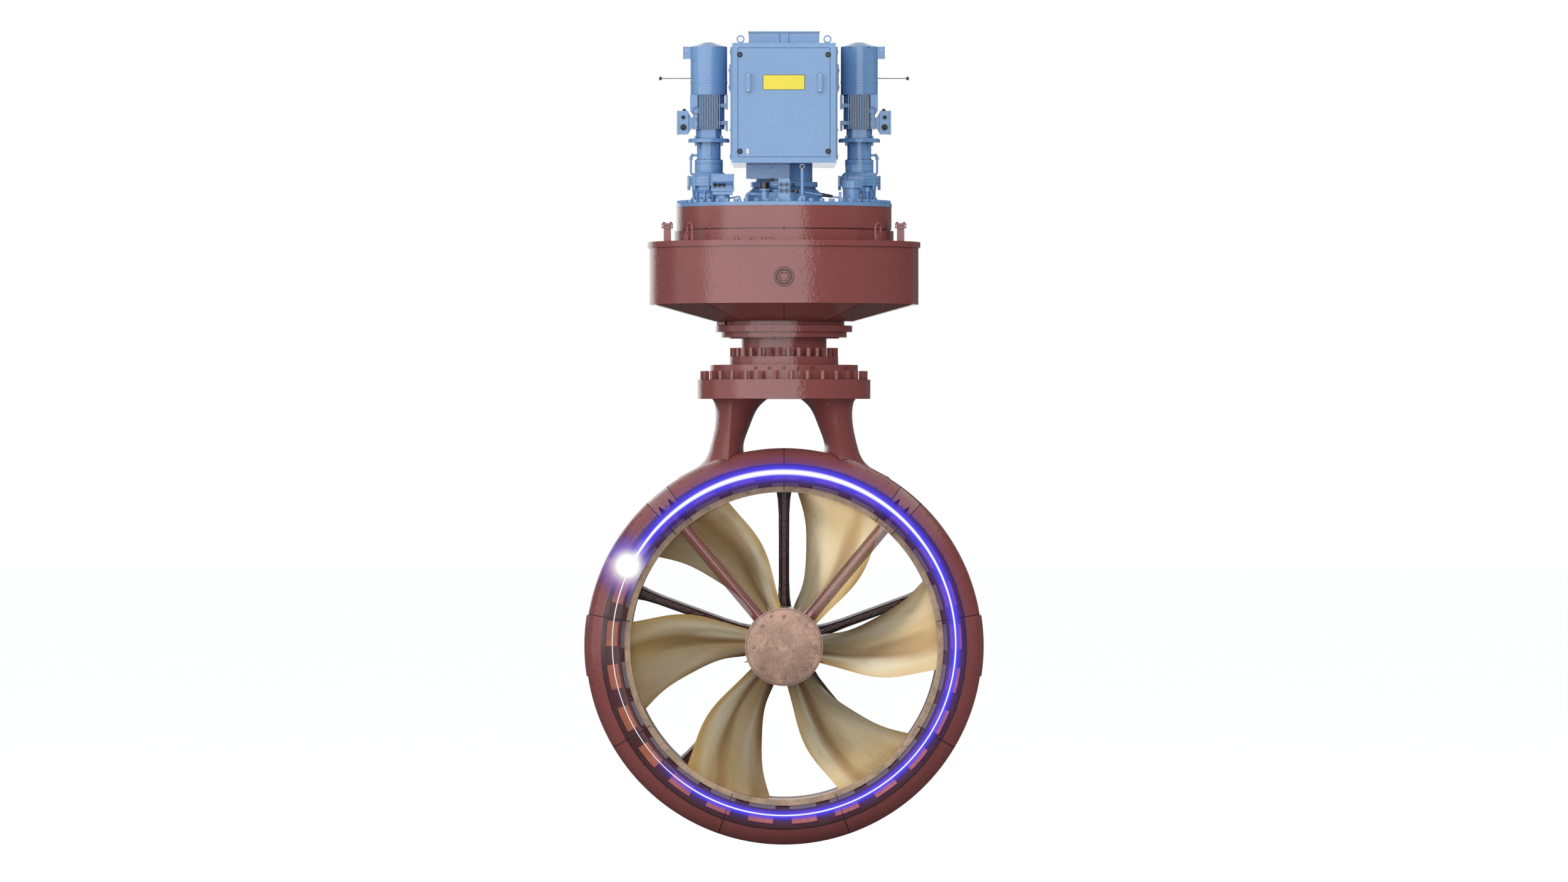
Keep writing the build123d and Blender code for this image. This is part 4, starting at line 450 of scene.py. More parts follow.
def stator_sheet(pitch=3 * MM):
    """Dark stack of stator sheets, smooth red-brown as seen through the cover."""
    tree, shader, place = material("stator_sheet")
    radius, angle, along = tree.group("About the shaft", Place=place)
    blot = tree.noise(place, 5.0, 3.0)
    sheets = tree.math("SINE", along * (2 * pi / pitch))
    tree.feed(
        shader, Base_Color=tree.mix(blot, display(112, 78, 82), display(88, 62, 68)),
        Roughness=blot * 0.2 + 0.45, Normal=tree.bump(sheets, 0.2 * MM, 0.4),
    )


def band_mask(tree, radius, low, high, soft):
    """1 between two radii about the shaft, with soft edges."""
    return tree.step(radius, low - soft, low + soft) * tree.step(radius, high + soft, high - soft)


def ghost_alpha(tree, radius, along, clear=0.05, tinted=0.3, denser=0.3):
    """Opacity over the motor: clear over the bronze ring, tinted over the coils, denser at the rim and
    open at the back. The second value is 1 at the rim."""
    tint = tree.step(radius, rotor_r - 4 * MM, rotor_r + 4 * MM)
    rim = tree.step(radius, band_r - 34 * MM, band_r - 14 * MM)
    front = tree.step(along, nose_back_y - 3 * MM, nose_back_y - 12 * MM)
    return (rim * denser + (tint * tinted + clear)) * front, rim


def ghost_cover(coats):
    """The motor cover is shown see-through, so that the coils behind it can be seen."""
    tree, shader, place = material("ghost_cover")
    height, mottle = tree.group("Rolled coat", Place=place, Ripple=coats.ripple)
    radius, angle, along = tree.group("About the shaft", Place=place)
    alpha, rim = ghost_alpha(tree, radius, along)
    tree.feed(
        shader, Base_Color=tree.mix(rim, display(112, 62, 66), display(84, 58, 62)),
        Roughness=mottle * 0.1 + 0.14, Alpha=alpha,
    )


def spider_paint(coats):
    """Red paint of the front spider: see-through over the motor, and thinly so on the struts."""
    tree, shader, place = painted("spider_red", coats.red, coats, RED_SHADE, corner="Own corner shade")
    radius, angle, along = tree.group("About the shaft", Place=place)
    ghost, rim = ghost_alpha(tree, radius, along)
    over_motor = band_mask(tree, radius, duct_r - 2 * MM, band_r, 1 * MM)
    strut = band_mask(tree, radius, hub_r + 30 * MM, duct_r, 20 * MM)
    alpha = over_motor * ghost + (1.0 - over_motor) * (strut * -0.38 + 1.0)
    tree.feed(shader, Alpha=alpha, Coat_Weight=1.0, Coat_Roughness=0.12)


def lay_over(tree, shader, mask, colour):
    """Lays a colour over a paint where a mask is 1."""
    under = Value(tree, shader.inputs["Base Color"].links[0].from_socket)
    tree.feed(shader, Base_Color=tree.mix(mask, under, colour))


def finned_blue(
    coats, tip=111.5 * MM, root=101 * MM, wide=66 * MM, narrow=60 * MM, low=0.738, high=0.946
):
    """Blue paint that turns navy in the gaps between the motors' cooling fins, as painted shade: inside
    the fins' tips, within their width and between their ends."""
    tree, shader, place = painted("fin_blue", coats.blue, coats, BLUE_SHADE)
    x, y, z = tree.split(place)
    deep = tree.step(tree.math("ABSOLUTE", y), tip, root)
    off = tree.math("ABSOLUTE", tree.math("ABSOLUTE", x) - motor_x)
    tall = tree.step(z, low, low + 8 * MM) * tree.step(z, high, high - 10 * MM)
    mask = deep * tree.step(off, wide, narrow) * tall
    # Painted shade: navy laid over the blue deep in the gaps between the fins
    lay_over(tree, shader, mask * 0.92, display(16, 26, 44))


def breather_paint(coats, cap_foot=0.358, soft=0.5 * MM):
    """Blue foot and neck under the black cap of the breather."""
    tree, shader, place = painted("breather_blue", coats.blue, coats, BLUE_SHADE)
    x, y, z = tree.split(place)
    lay_over(tree, shader, tree.step(z, cap_foot - soft, cap_foot + soft), display(30, 30, 32))


def field_light(glow):
    """The field's light: a white line in a violet halo, a flare at its head, a thin line behind it."""
    tree, shader, place = material("field_light")
    radius, angle, along = tree.group("About the shaft", Place=place, Rise=glow.rise)
    # 1 at the top and 0 at the bottom, then 1 on the bare arc between the flare and the halo's tail
    height = tree.math("COSINE", angle) * 0.5 + 0.5
    side = tree.step(angle, glow.head + radians(0.5), glow.head - radians(2.5))
    before = tree.step(angle, glow.tail - radians(22), glow.tail + radians(4))
    bare = side * before
    halo_on = 1.0 - bare
    # Half widths of line and halo, and the masks from the line's middle outwards
    away = tree.math("ABSOLUTE", radius - glow.radius)
    line_w = height ** 5.0 * (glow.thick - glow.thin) + glow.thin
    line_w = bare * (-0.35 * glow.thin) + line_w
    line_w = tree.math("MINIMUM", line_w, halo_on * glow.thick + glow.thin * 1.1)
    halo_w = height ** 1.3 * (glow.wide - glow.narrow) + glow.narrow
    line = tree.step(away, line_w * 1.25, line_w * 0.35)
    halo = tree.step(away, halo_w, line_w * 0.8) ** 1.3 * halo_on
    mist = tree.step(away, halo_w * 1.7, 0.0) * 0.16 * halo_on
    # The flare and the cloud of light about it
    out = glow.radius + glow.flare_out
    middle = (out * sin(glow.head), 0.0, out * cos(glow.head) + nozzle_z)
    flat = tree.value("ShaderNodeVectorMath", {"operation": "MULTIPLY"}, n0=place, n1=(1.0, 0.0, 1.0))
    gap = tree.value("ShaderNodeVectorMath", {"operation": "DISTANCE"}, "Value", n0=flat, n1=middle)
    spot = tree.step(gap, glow.flare * 1.15, glow.flare * 0.55)
    cloud = tree.step(gap, glow.flare * 2.4, glow.flare * 0.5) ** 1.4 * 0.75
    tint = tree.mix(halo * 0.35, glow.halo, display(118, 100, 255))
    tint = tree.mix(cloud * halo_on, tint, display(196, 176, 255))
    tint = tree.mix(cloud * bare, tint, display(255, 222, 236))
    tint = tree.mix(line, tint, glow.core)
    tint = tree.mix(spot, tint, glow.core)
    alpha = line
    for mask in (halo, mist, spot, cloud):
        alpha = tree.math("MAXIMUM", alpha, mask)
    facing = 1.0 - tree.value("ShaderNodeNewGeometry", output="Backfacing")
    tree.feed(
        shader, Base_Color=(0.0, 0.0, 0.0, 1.0), Emission_Color=tint, Alpha=alpha * facing,
        Emission_Strength=1.0, Specular_IOR_Level=0.0, Roughness=1.0,
    )


# Meshes and pieces
def mesh_of(name, verts, edges=(), faces=()):
    mesh = bpy.data.meshes.new(name)
    mesh.from_pydata(verts, list(edges), list(faces))
    return mesh


def mesh_from_work(name, work):
    """The mesh of a finished bmesh."""
    mesh = bpy.data.meshes.new(name)
    work.to_mesh(mesh)
    work.free()
    recalculate(mesh)
    return mesh


def recalculate(mesh):
    """Turns every face outwards and smooths the gentle edges."""
    work = bmesh.new()
    work.from_mesh(mesh)
    bmesh.ops.remove_doubles(work, verts=work.verts, dist=0.01 * MM)
    bmesh.ops.recalc_face_normals(work, faces=work.faces)
    for face in work.faces:
        face.smooth = True
    for edge in work.edges:
        edge.smooth = len(edge.link_faces) == 2 and edge.calc_face_angle(0.0) < radians(32)
    work.to_mesh(mesh)
    work.free()


def linked(name, data):
    """A new object in the scene."""
    made = bpy.data.objects.new(name, data)
    bpy.context.scene.collection.objects.link(made)
    return made


def finish_piece(name, mesh, body, finish):
    """A finished piece: linked, painted and riding on its body."""
    piece = linked(name, mesh)
    mesh.materials.clear()
    mesh.materials.append(bpy.data.materials[finish])
    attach(piece, body)
    return piece


# Shapes about the propeller shaft
def arc_through(first, middle, last, share):
    """Point on the arc through three points, at a share of its sweep."""
    (ax, ay), (bx, by), (cx, cy) = first, middle, last
    a, b, c = ax**2 + ay**2, bx**2 + by**2, cx**2 + cy**2
    d = 2 * (ax * (by - cy) + bx * (cy - ay) + cx * (ay - by))
    ux = (a * (by - cy) + b * (cy - ay) + c * (ay - by)) / d
    uy = (a * (cx - bx) + b * (ax - cx) + c * (bx - ax)) / d
    start = atan2(ay - uy, ax - ux)
    sweep = (atan2(cy - uy, cx - ux) - start + pi) % (2 * pi) - pi
    reach = sqrt((ax - ux) ** 2 + (ay - uy) ** 2)
    angle = start + sweep * share
    return ux + reach * cos(angle), uy + reach * sin(angle)


def nose_line():
    """Points and outward normals of the front casting's profile, as radius and place along the shaft."""
    inner = ((duct_r, nose_y + 65 * MM), (duct_r + 25 * MM, nose_y + 19 * MM), (lip_r, nose_y))
    outer = ((lip_r, nose_y), (lip_r + 132 * MM, nose_y + 62 * MM), (nozzle_r, nose_back_y))
    points = [Vector(arc_through(*inner, index / NOSE_STEPS)) for index in range(NOSE_STEPS)]
    many = 3 * NOSE_STEPS
    points += [Vector(arc_through(*outer, index / many)) for index in range(many + 1)]
    normals = []
    for index in range(len(points)):
        along = points[min(index + 1, len(points) - 1)] - points[max(index - 1, 0)]
        normals.append(Vector((along.y, -along.x)).normalized())
    return points, normals


def nose_at(radius):
    """Place along the shaft and outward normal of the front casting at a radius."""
    points, normals = nose_line()
    for index, (point, after) in enumerate(zip(points, points[1:])):
        if point.x <= radius <= after.x:
            share = (radius - point.x) / (after.x - point.x)
            return point.lerp(after, share).y, normals[index].lerp(normals[index + 1], share)
    return points[-1].y, normals[-1]


def about_shaft(radius, along, angle):
    """Place at a radius and clock angle about the shaft."""
    return Vector((radius * sin(angle), along, nozzle_z + radius * cos(angle)))


def shell_round_shaft(name, low, high, lift, thickness, turns):
    """A thin closed shell over the front casting, between two radii."""
    line = [(p, n) for p, n in zip(*nose_line()) if low <= p.x <= high]
    rows = [p + n * lift for p, n in line] + [p + n * (lift - thickness) for p, n in reversed(line)]
    count = len(rows)
    verts, faces = [], []
    for turn in range(turns):
        verts += [about_shaft(row.x, row.y, 2 * pi * turn / turns) for row in rows]
        here, there = turn * count, (turn + 1) % turns * count
        for row in range(count):
            beside = (row + 1) % count
            faces.append((here + row, there + row, there + beside, here + beside))
    mesh = mesh_of(name, verts, faces=faces)
    recalculate(mesh)
    return mesh


# Trees of Geometry Nodes
def finish_tree(tree, ins, outs, geometry):
    """Ends a tree in Realize Instances and Set Material."""
    real = tree.value("GeometryNodeRealizeInstances", n0=geometry)
    last = tree.value("GeometryNodeSetMaterial", Geometry=real, Material=ins["Material"])
    tree.feed(outs, Geometry=last)


def fitting_tree(chamfer=0.8, shoulder=0.72):
    """Turned fittings, one on each point: a collar and a head with a chamfered top. The chamfer is the
    top's share of the head's radius, the shoulder its start as a share of the height."""
    tree, ins, outs = node_group(
        "Fittings", "GeometryNodeTree",
        {
            "Geometry": "Geometry", "Head radius": 0.008, "Head height": 0.006,
            "Collar radius": 0.011, "Collar height": 0.002, "Sides": 16, "Material": "Material",
        },
        {"Geometry": "Geometry"},
    )
    head, tall = ins["Head radius"], ins["Head height"]
    collar, low = ins["Collar radius"], ins["Collar height"]
    stock = tree.value(
        "GeometryNodeMeshCylinder",
        Vertices=ins["Sides"], Side_Segments=4, Fill_Segments=1, Radius=1.0, Depth=4.0,
    )
    x, y, z = tree.split(tree.value("GeometryNodeInputPosition"))
    level = tree.math("ROUND", z + 2.0)
    widths = (collar, collar, head, head, head * chamfer)
    heights = (0.0, low, low, tall * shoulder + low, tall + low)
    picked = []
    for values in (widths, heights):
        node = tree.node("GeometryNodeIndexSwitch", {"data_type": "FLOAT"})
        while len(node.index_switch_items) < len(values):
            node.index_switch_items.new()
        tree.feed(node, Index=level, **{f"n{index + 1}": value for index, value in enumerate(values)})
        picked.append(Value(tree, node.outputs[0]))
    width, height = picked
    shaped = tree.value("ShaderNodeCombineXYZ", X=x * width, Y=y * width, Z=height)
    turned = tree.value("GeometryNodeSetPosition", Geometry=stock, Position=shaped)
    facing = tree.value("GeometryNodeInputNamedAttribute", {"data_type": "FLOAT_VECTOR"}, Name="facing")
    turn = tree.value("FunctionNodeAlignRotationToVector", {"axis": "Z"}, Vector=facing)
    spread = tree.value(
        "GeometryNodeInstanceOnPoints", Points=ins["Geometry"], Instance=turned, Rotation=turn
    )
    finish_tree(tree, ins, outs, spread)


def bead_tree():
    """A round bead along every path."""
    tree, ins, outs = node_group(
        "Bead", "GeometryNodeTree",
        {"Geometry": "Geometry", "Radius": 0.002, "Material": "Material"}, {"Geometry": "Geometry"},
    )
    path = tree.value("GeometryNodeMeshToCurve", Mesh=ins["Geometry"])
    ring = tree.value("GeometryNodeCurvePrimitiveCircle", Resolution=8, Radius=ins["Radius"])
    tube = tree.value("GeometryNodeCurveToMesh", Curve=path, Profile_Curve=ring, Fill_Caps=True)
    finish_tree(tree, ins, outs, tube)


TREES = {"Fittings": fitting_tree, "Bead": bead_tree}


def grow(name, source, tree, body, finish, slot, **values):
    """Runs a tree on a source mesh and keeps the result as one plain piece on its body."""
    if tree not in bpy.data.node_groups:
        TREES[tree]()
    holder = linked(name + "_source", source)
    modifier = holder.modifiers.new("Grow", "NODES")
    modifier.node_group = bpy.data.node_groups[tree]
    values["material"] = bpy.data.materials[finish]
    for socket in modifier.node_group.interface.items_tree:
        key = socket.name.replace(" ", "_").lower()
        if socket.in_out == "INPUT" and key in values:
            modifier[socket.identifier] = values[key]
    graph = bpy.context.evaluated_depsgraph_get()
    mesh = bpy.data.meshes.new_from_object(holder.evaluated_get(graph), depsgraph=graph)
    mesh.name = name
    bpy.data.objects.remove(holder)
    if not mesh.polygons:
        raise RuntimeError(f"{name} came out empty")
    recalculate(mesh)
    return finish_piece(name, mesh, body, finish)


def fittings(name, body, finish, places, head, collar=None, sides=16):
    """Fittings at places, each a pair of a place and the way it faces; sizes are radius and height."""
    mesh = mesh_of(name + "_places", [place for place, way in places])
    facing = mesh.attributes.new("facing", "FLOAT_VECTOR", "POINT")
    for point, (place, way) in zip(facing.data, places):
        point.vector = way
    collar = collar or (head[0] * 1.08, head[1] * 0.12)
    return grow(
        name, mesh, "Fittings", body, finish, None, sides=sides,
        head_radius=head[0] * MM, head_height=head[1] * MM,
        collar_radius=collar[0] * MM, collar_height=collar[1] * MM,
    )


def beads(name, body, finish, paths, radius, closed=True, slot=None):
    """Beads along paths, each a list of points."""
    verts, edges = [], []
    for points in paths:
        first = len(verts)
        verts += points
        edges += [(first + index, first + index + 1) for index in range(len(points) - 1)]
        if closed:
            edges.append((len(verts) - 1, first))
    mesh = mesh_of(name + "_paths", verts, edges)
    return grow(name, mesh, "Bead", body, finish, slot, radius=radius * MM)


def circle(centre, radius, count=40, across=RIGHT):
    """Points of a circle in the plane of a level direction and the upward one."""
    across, up = Vector(across), Vector(UP)
    turns = [2 * pi * index / count for index in range(count)]
    return [Vector(centre) + radius * MM * (cos(turn) * across + sin(turn) * up) for turn in turns]


def heading(turn):
    """Level direction at a turn in degrees from the front."""
    return Vector((sin(radians(turn)), -cos(radians(turn)), 0.0))


def upright_frame(low_x, high_x, low_z, high_z, y, corner=6):
    """Points of a rounded rectangle in an upright plane."""
    corner = corner * MM
    points = []
    for x, z, turn in (
        (high_x - corner, high_z - corner, 0), (low_x + corner, high_z - corner, 90),
        (low_x + corner, low_z + corner, 180), (high_x - corner, low_z + corner, 270),
    ):
        for index in range(5):
            angle = radians(turn + 22.5 * index)
            points.append(Vector((x + corner * cos(angle), y, z + corner * sin(angle))))
    return points


def plate(name, body, finish, edges, y, thickness, corner):
    """A flat plate with rounded corners and bevelled rims, on an upright face that looks to -Y."""
    low_x, high_x, low_z, high_z = edges
    bevel = min(thickness, corner) * 0.4 * MM
    rim = upright_frame(*edges, y, corner)
    inner = upright_frame(
        low_x + bevel, high_x - bevel, low_z + bevel, high_z - bevel, y - thickness * MM, corner
    )
    count = len(rim)
    verts = rim + [point + Vector((0, bevel - thickness * MM, 0)) for point in rim] + inner
    faces = [tuple(range(count)), tuple(range(2 * count, 3 * count))]
    for row in (0, count):
        for index in range(count):
            after = (index + 1) % count
            faces.append((row + index, row + after, row + count + after, row + count + index))
    mesh = mesh_of(name, verts, faces=faces)
    recalculate(mesh)
    return finish_piece(name, mesh, body, finish)


# The studio
class THRUSTER_OT_studio(bpy.types.Operator):
    """Floor, backdrop, lamps and the camera at the photograph's view"""

    bl_idname = "thruster.studio"
    bl_label = "Studio"

    floor_half = 150.0
    lamp_reach, lamp_rise, lamp_height, lamp_half_span = 14.0, 5.0, 14.0, radians(45)
    flag_reach, flag_top, flag_front = 16.0, 9.0, -9.0
    behind, left = radians(140), radians(255)

    def execute(self, context):
        studio = context.scene.thruster_studio
        context.scene.view_settings.view_transform = "Standard"
        self.middle = (cad_box[0] + cad_box[1]) / 2
        self.floor_z = cad_box[0].z - studio.drop
        self.build_floor(studio)
        self.build_world(context.scene, studio)
        self.build_lamps(studio)
        self.build_flags(studio)
        self.build_camera(context.scene, studio)
        return {"FINISHED"}

    def build_floor(self, studio):
        half, z = self.floor_half, self.floor_z
        corners = [(-half, -half, z), (half, -half, z), (half, half, z), (-half, half, z)]
        mesh = mesh_of("studio_floor", corners, faces=[(0, 1, 2, 3)])
        floor = linked("studio_floor", mesh)
        tree, shader, place = material("studio_floor")
        pale = tree.mix(tree.noise(place, 0.8, 2.0), display(158, 158, 158), display(162, 162, 162))
        tree.feed(shader, Base_Color=pale, Roughness=0.9, Specular_IOR_Level=0.0)
        seen = self.seen_rays(tree, studio)
        white = tree.value("ShaderNodeEmission", Strength=seen * studio.floor_white)
        both = tree.value("ShaderNodeAddShader", n0=Value(tree, shader.outputs[0]), n1=white)
        tree.feed(tree.tree.nodes["Material Output"], Surface=both)
        mesh.materials.append(bpy.data.materials["studio_floor"])

    def seen_rays(self, tree, studio):
        """1 for rays from the camera and through glass, and a share for rays from gloss."""
        rays = {
            name: Value(tree, socket)
            for name, socket in tree.node("ShaderNodeLightPath").outputs.items()
        }
        seen = tree.math("MAXIMUM", rays["Is Camera Ray"], rays["Is Transmission Ray"])
        return tree.math("MAXIMUM", seen, rays["Is Glossy Ray"] * studio.gloss_white)

    def build_world(self, scene, studio):
        scene.world = bpy.data.worlds.new("studio_world")
        scene.world.use_nodes = True
        nodes = scene.world.node_tree.nodes
        tree = Tree(scene.world.node_tree)
        air = tree.feed(nodes["Background"], Color=display(238, 241, 246), Strength=studio.air)
        white = tree.value("ShaderNodeBackground", Color=(1.0, 1.0, 1.0, 1.0), Strength=1.0)
        seen = self.seen_rays(tree, studio)
        blend = tree.value("ShaderNodeMixShader", n0=seen, n1=Value(tree, air.outputs[0]), n2=white)
        tree.feed(nodes["World Output"], Surface=blend)

    def build_lamps(self, studio):
        """A wide panel at the front left and two fill panels, each with its place, the way it faces,
        its width and height, and whether gloss shows it."""
        turn = studio.edge - self.lamp_half_span
        toward = Vector((sin(turn), -cos(turn), 0.0))
        width = 2 * self.lamp_reach * tan(self.lamp_half_span)
        front = toward * self.lamp_reach + Vector((0.0, 0.0, self.lamp_rise))
        fill = studio.fill
        lamps = (
            ("panel_front", studio.panel, front, toward, width, self.lamp_height, True),
            ("panel_right", fill, (13.0, -2.0, 3.0), (1.0, -0.15, 0.1), 8.0, 9.0, False),
            ("panel_back", fill, (-3.0, 13.0, 4.0), (-0.2, 1.0, 0.2), 12.0, 9.0, True),
        )
        for name, power, place, facing, across, tall, mirrored in lamps:
            light = bpy.data.lights.new(name, "AREA")
            light.shape = "RECTANGLE"
            light.size = across
            light.size_y = tall
            light.energy = power
            lamp = linked(name, light)
            lamp.location = Vector(place) + self.middle
            lamp.rotation_euler = Vector(facing).to_track_quat("Z", "Y").to_euler()
            lamp.visible_glossy = mirrored

    def build_flags(self, studio):
        """Boards that only gloss sees: dark on the right, grey behind and dark over the floor."""
        reach, low = self.flag_reach, self.floor_z + 0.03
        flat = [(-reach, self.flag_front), (reach, self.flag_front), (reach, reach), (-reach, reach)]
        boards = {
            "flag_right": (self.upright_board(studio.edge, self.behind), 40),
            "flag_back": (self.upright_board(self.behind, self.left), 112),
            "flag_low": (([(x, y, low) for x, y in flat], [(0, 1, 2, 3)]), 52),
        }
        for name, ((verts, faces), grey) in boards.items():
            tree, shader, place = material(name)
            dark, light = display(grey, grey, grey), display(grey + 8, grey + 8, grey + 8)
            tone = tree.mix(tree.noise(place, 1.5, 2.0), dark, light)
            tree.feed(shader, Base_Color=tone, Roughness=0.9)
            mesh = mesh_of(name, verts, faces=faces)
            mesh.materials.append(bpy.data.materials[name])
            flag = linked(name, mesh)
            for kind in ("camera", "shadow", "diffuse", "transmission"):
                setattr(flag, f"visible_{kind}", False)

    def upright_board(self, start, stop, parts=10):
        """Corners and faces of a board that stands on an arc about the steering axis."""
        verts = []
        for index in range(parts + 1):
            turn = start + (stop - start) * index / parts
            for z in (self.floor_z + 0.02, self.middle.z + self.flag_top):
                verts.append((self.flag_reach * sin(turn), -self.flag_reach * cos(turn), z))
        return verts, [(2 * i, 2 * i + 1, 2 * i + 3, 2 * i + 2) for i in range(parts)]

    def build_camera(self, scene, studio):
        data = bpy.data.cameras.new("photo_camera")
        data.lens = studio.lens
        data.sensor_width = 36.0
        data.clip_end = 500.0
        camera = linked("photo_camera", data)
        camera.location = (0.0, -studio.distance, studio.eye)
        camera.rotation_euler = (radians(90.0), 0.0, 0.0)
        scene.camera = camera


# The finishes of the machine's own pieces
class THRUSTER_OT_finishes(bpy.types.Operator):
    """Paint, bronze, copper, steel and plastic on the pieces of the frame"""

    bl_idname = "thruster.finishes"
    bl_label = "Finishes"

    of_slot = {
        "red_paint": "hull_red", "blue_paint": "machinery_blue", "polished_bronze": "blade_bronze",
        "bare_bronze": "dull_bronze", "bearing_bronze": "bush_bronze", "copper": "wound_copper",
        "magnet_steel": "magnet_grey", "steel": "machined_steel", "zinc": "coated_zinc",
        "seal_rubber": "ring_rubber", "insulation": "wire_insulation", "black_plastic": "moulded_black",
    }
    of_node = {
        "motor_cover": "ghost_cover", "hub_cap": "cap_bronze", "stator_core": "stator_sheet",
        "front_spider": "spider_red", "nose_fairing": "nozzle_red", "nozzle_shell": "nozzle_red",
        "tank_plug": "plug_red", "breather_cap": "breather_blue", "motor_left": "fin_blue",
        "motor_right": "fin_blue",
    }

    def execute(self, context):
        rolled_coat_group()
        corner_group("Corner shade", False)
        corner_group("Own corner shade", True)
        polar_group()
        self.make_paints(context.scene.thruster_coats)
        self.make_metals(context.scene.thruster_bronzes)
        self.make_plastics()
        for entry in frame["record"]["subparts"]:
            node, slot = frame["nodes"][entry["node"]], entry["material_slot"]
            finish = self.of_node.get(entry["node"], self.of_slot[slot])
            node.data.materials.clear()
            node.data.materials.append(bpy.data.materials[finish])
        return {"FINISHED"}

    def make_paints(self, coats):
        painted("hull_red", coats.red, coats, RED_SHADE)
        painted("nozzle_red", coats.red, coats, RED_SHADE, corner="Own corner shade")
        # A much darker copy of the hull red for the struts deep in the duct: painted shade
        painted("rear_red", display(66, 24, 22), coats, display(16, 5, 5), 0.14, 0.25)
        # The tank plug: a near-black shade colour and a longer reach, painted shade in the plug's
        # grooves
        painted("plug_red", coats.red, coats, display(26, 12, 12), reach=34 * MM)
        painted("coated_zinc", display(128, 74, 70), coats, RED_SHADE, 0.5)
        painted("machinery_blue", coats.blue, coats, BLUE_SHADE)
        finned_blue(coats)
        breather_paint(coats)
        spider_paint(coats)
        ghost_cover(coats)

    def make_metals(self, bronzes):
        blade_bronze(bronzes)
        weathered_bronze("dull_bronze", bronzes.dull, 0.09, 0.35)
        weathered_bronze("cap_bronze", bronzes.cap, 0.07, 0.25)
        wound_copper(bronzes)
        stator_sheet()
        machined("bush_bronze", display(176, 138, 84), 0.35)
        machined("magnet_grey", display(150, 146, 156), 0.45, 0.4)
        machined("machined_steel", display(170, 172, 176), 0.3)
        machined("ring_green", display(58, 74, 62), 0.5, 0.4)
        machined("jack_teal", display(52, 96, 92), 0.5, 0.4)

    def make_plastics(self):
        moulded("ring_rubber", display(30, 30, 31), 0.6)
        moulded("wire_insulation", display(120, 66, 44), 0.5)
        moulded("moulded_black", display(28, 28, 30), 0.4)
        moulded("seam_black", display(20, 16, 17), 0.7)
        moulded("seam_brown", display(88, 62, 52), 0.6)
        moulded("line_blue", display(52, 84, 124), 0.5)
        moulded("plain_yellow", display(238, 214, 62), 0.45)
        moulded("tag_white", display(226, 228, 230), 0.4)


class THRUSTER_OT_glow(bpy.types.Operator):
    """The glow of the field round the rim motor"""

    bl_idname = "thruster.glow"
    bl_label = "Field glow"

    thickness, margin, turns = 0.8 * MM, 4 * MM, 240

    def execute(self, context):
        glow = context.scene.thruster_glow
        field_light(glow)
        mesh = shell_round_shaft(
            "field_glow", rotor_r, nozzle_r - self.margin, glow.lift, self.thickness, self.turns
        )
        finish_piece("field_glow", mesh, "steering_unit", "field_light")
        return {"FINISHED"}


class THRUSTER_OT_rear_spider(bpy.types.Operator):
    """Rear hub and its five grooved struts, of an even width between their flared ends"""

    bl_idname = "thruster.rear_spider"
    bl_label = "Rear spider"

    # Half the struts' section as across and along the shaft, widening at radii, and the hub's profile
    strut_angles, strut_y = (0.0, 70.0, 140.0, 220.0, 290.0), 285
    half = ((12, -75), (15, -69), (19, -70), (31, -34), (33, -8), (31, 24), (14, 68), (5, 75))
    stations = (
        (140, 1.6), (225, 1.45), (300, 1.12), (400, 1.0),
        (640, 1.0), (820, 1.03), (905, 1.18), (958, 1.45),
    )
    hub_profile = (
        (0, 135), (234, 135), (234, 141), (205, 195), (198, 260),
        (178, 330), (120, 385), (50, 411), (0, 415),
    )

    def execute(self, context):
        work = bmesh.new()
        for angle in self.strut_angles:
            self.add_strut(work, radians(angle))
        self.add_hub(work)
        mesh = mesh_from_work("rear_struts", work)
        piece = finish_piece("rear_struts", mesh, "steering_unit", "rear_red")
        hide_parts("rear_spider")
        return {"FINISHED"}

    def add_strut(self, work, angle):
        side = [(t, y) for t, y in self.half] + [(-t, y) for t, y in reversed(self.half)]
        across = Vector((cos(angle), 0.0, -sin(angle)))
        rows = []
        for radius, widening in self.stations:
            middle = about_shaft(radius * MM, self.strut_y * MM, angle)
            ring = [middle + across * t * widening * MM + Vector((0.0, y * MM, 0.0)) for t, y in side]
            rows.append([work.verts.new(point) for point in ring])
        for low, high in zip(rows, rows[1:]):
            for index in range(len(side)):
                after = (index + 1) % len(side)
                work.faces.new((low[index], low[after], high[after], high[index]))
        work.faces.new(rows[0])
        work.faces.new(rows[-1])

    def add_hub(self, work, turns=72):
        rows = []
        for radius, along in self.hub_profile:
            angles = [2 * pi * turn / turns for turn in range(turns if radius else 1)]
            ring = [about_shaft(radius * MM, along * MM, angle) for angle in angles]
            rows.append([work.verts.new(point) for point in ring])
        for low, high in zip(rows, rows[1:]):
            for turn in range(turns):
                here, there = (turn % len(low), turn % len(high)), (turn + 1) % turns
                corners = [low[here[0]], low[there % len(low)], high[there % len(high)], high[here[1]]]
                work.faces.new(list(dict.fromkeys(corners)))


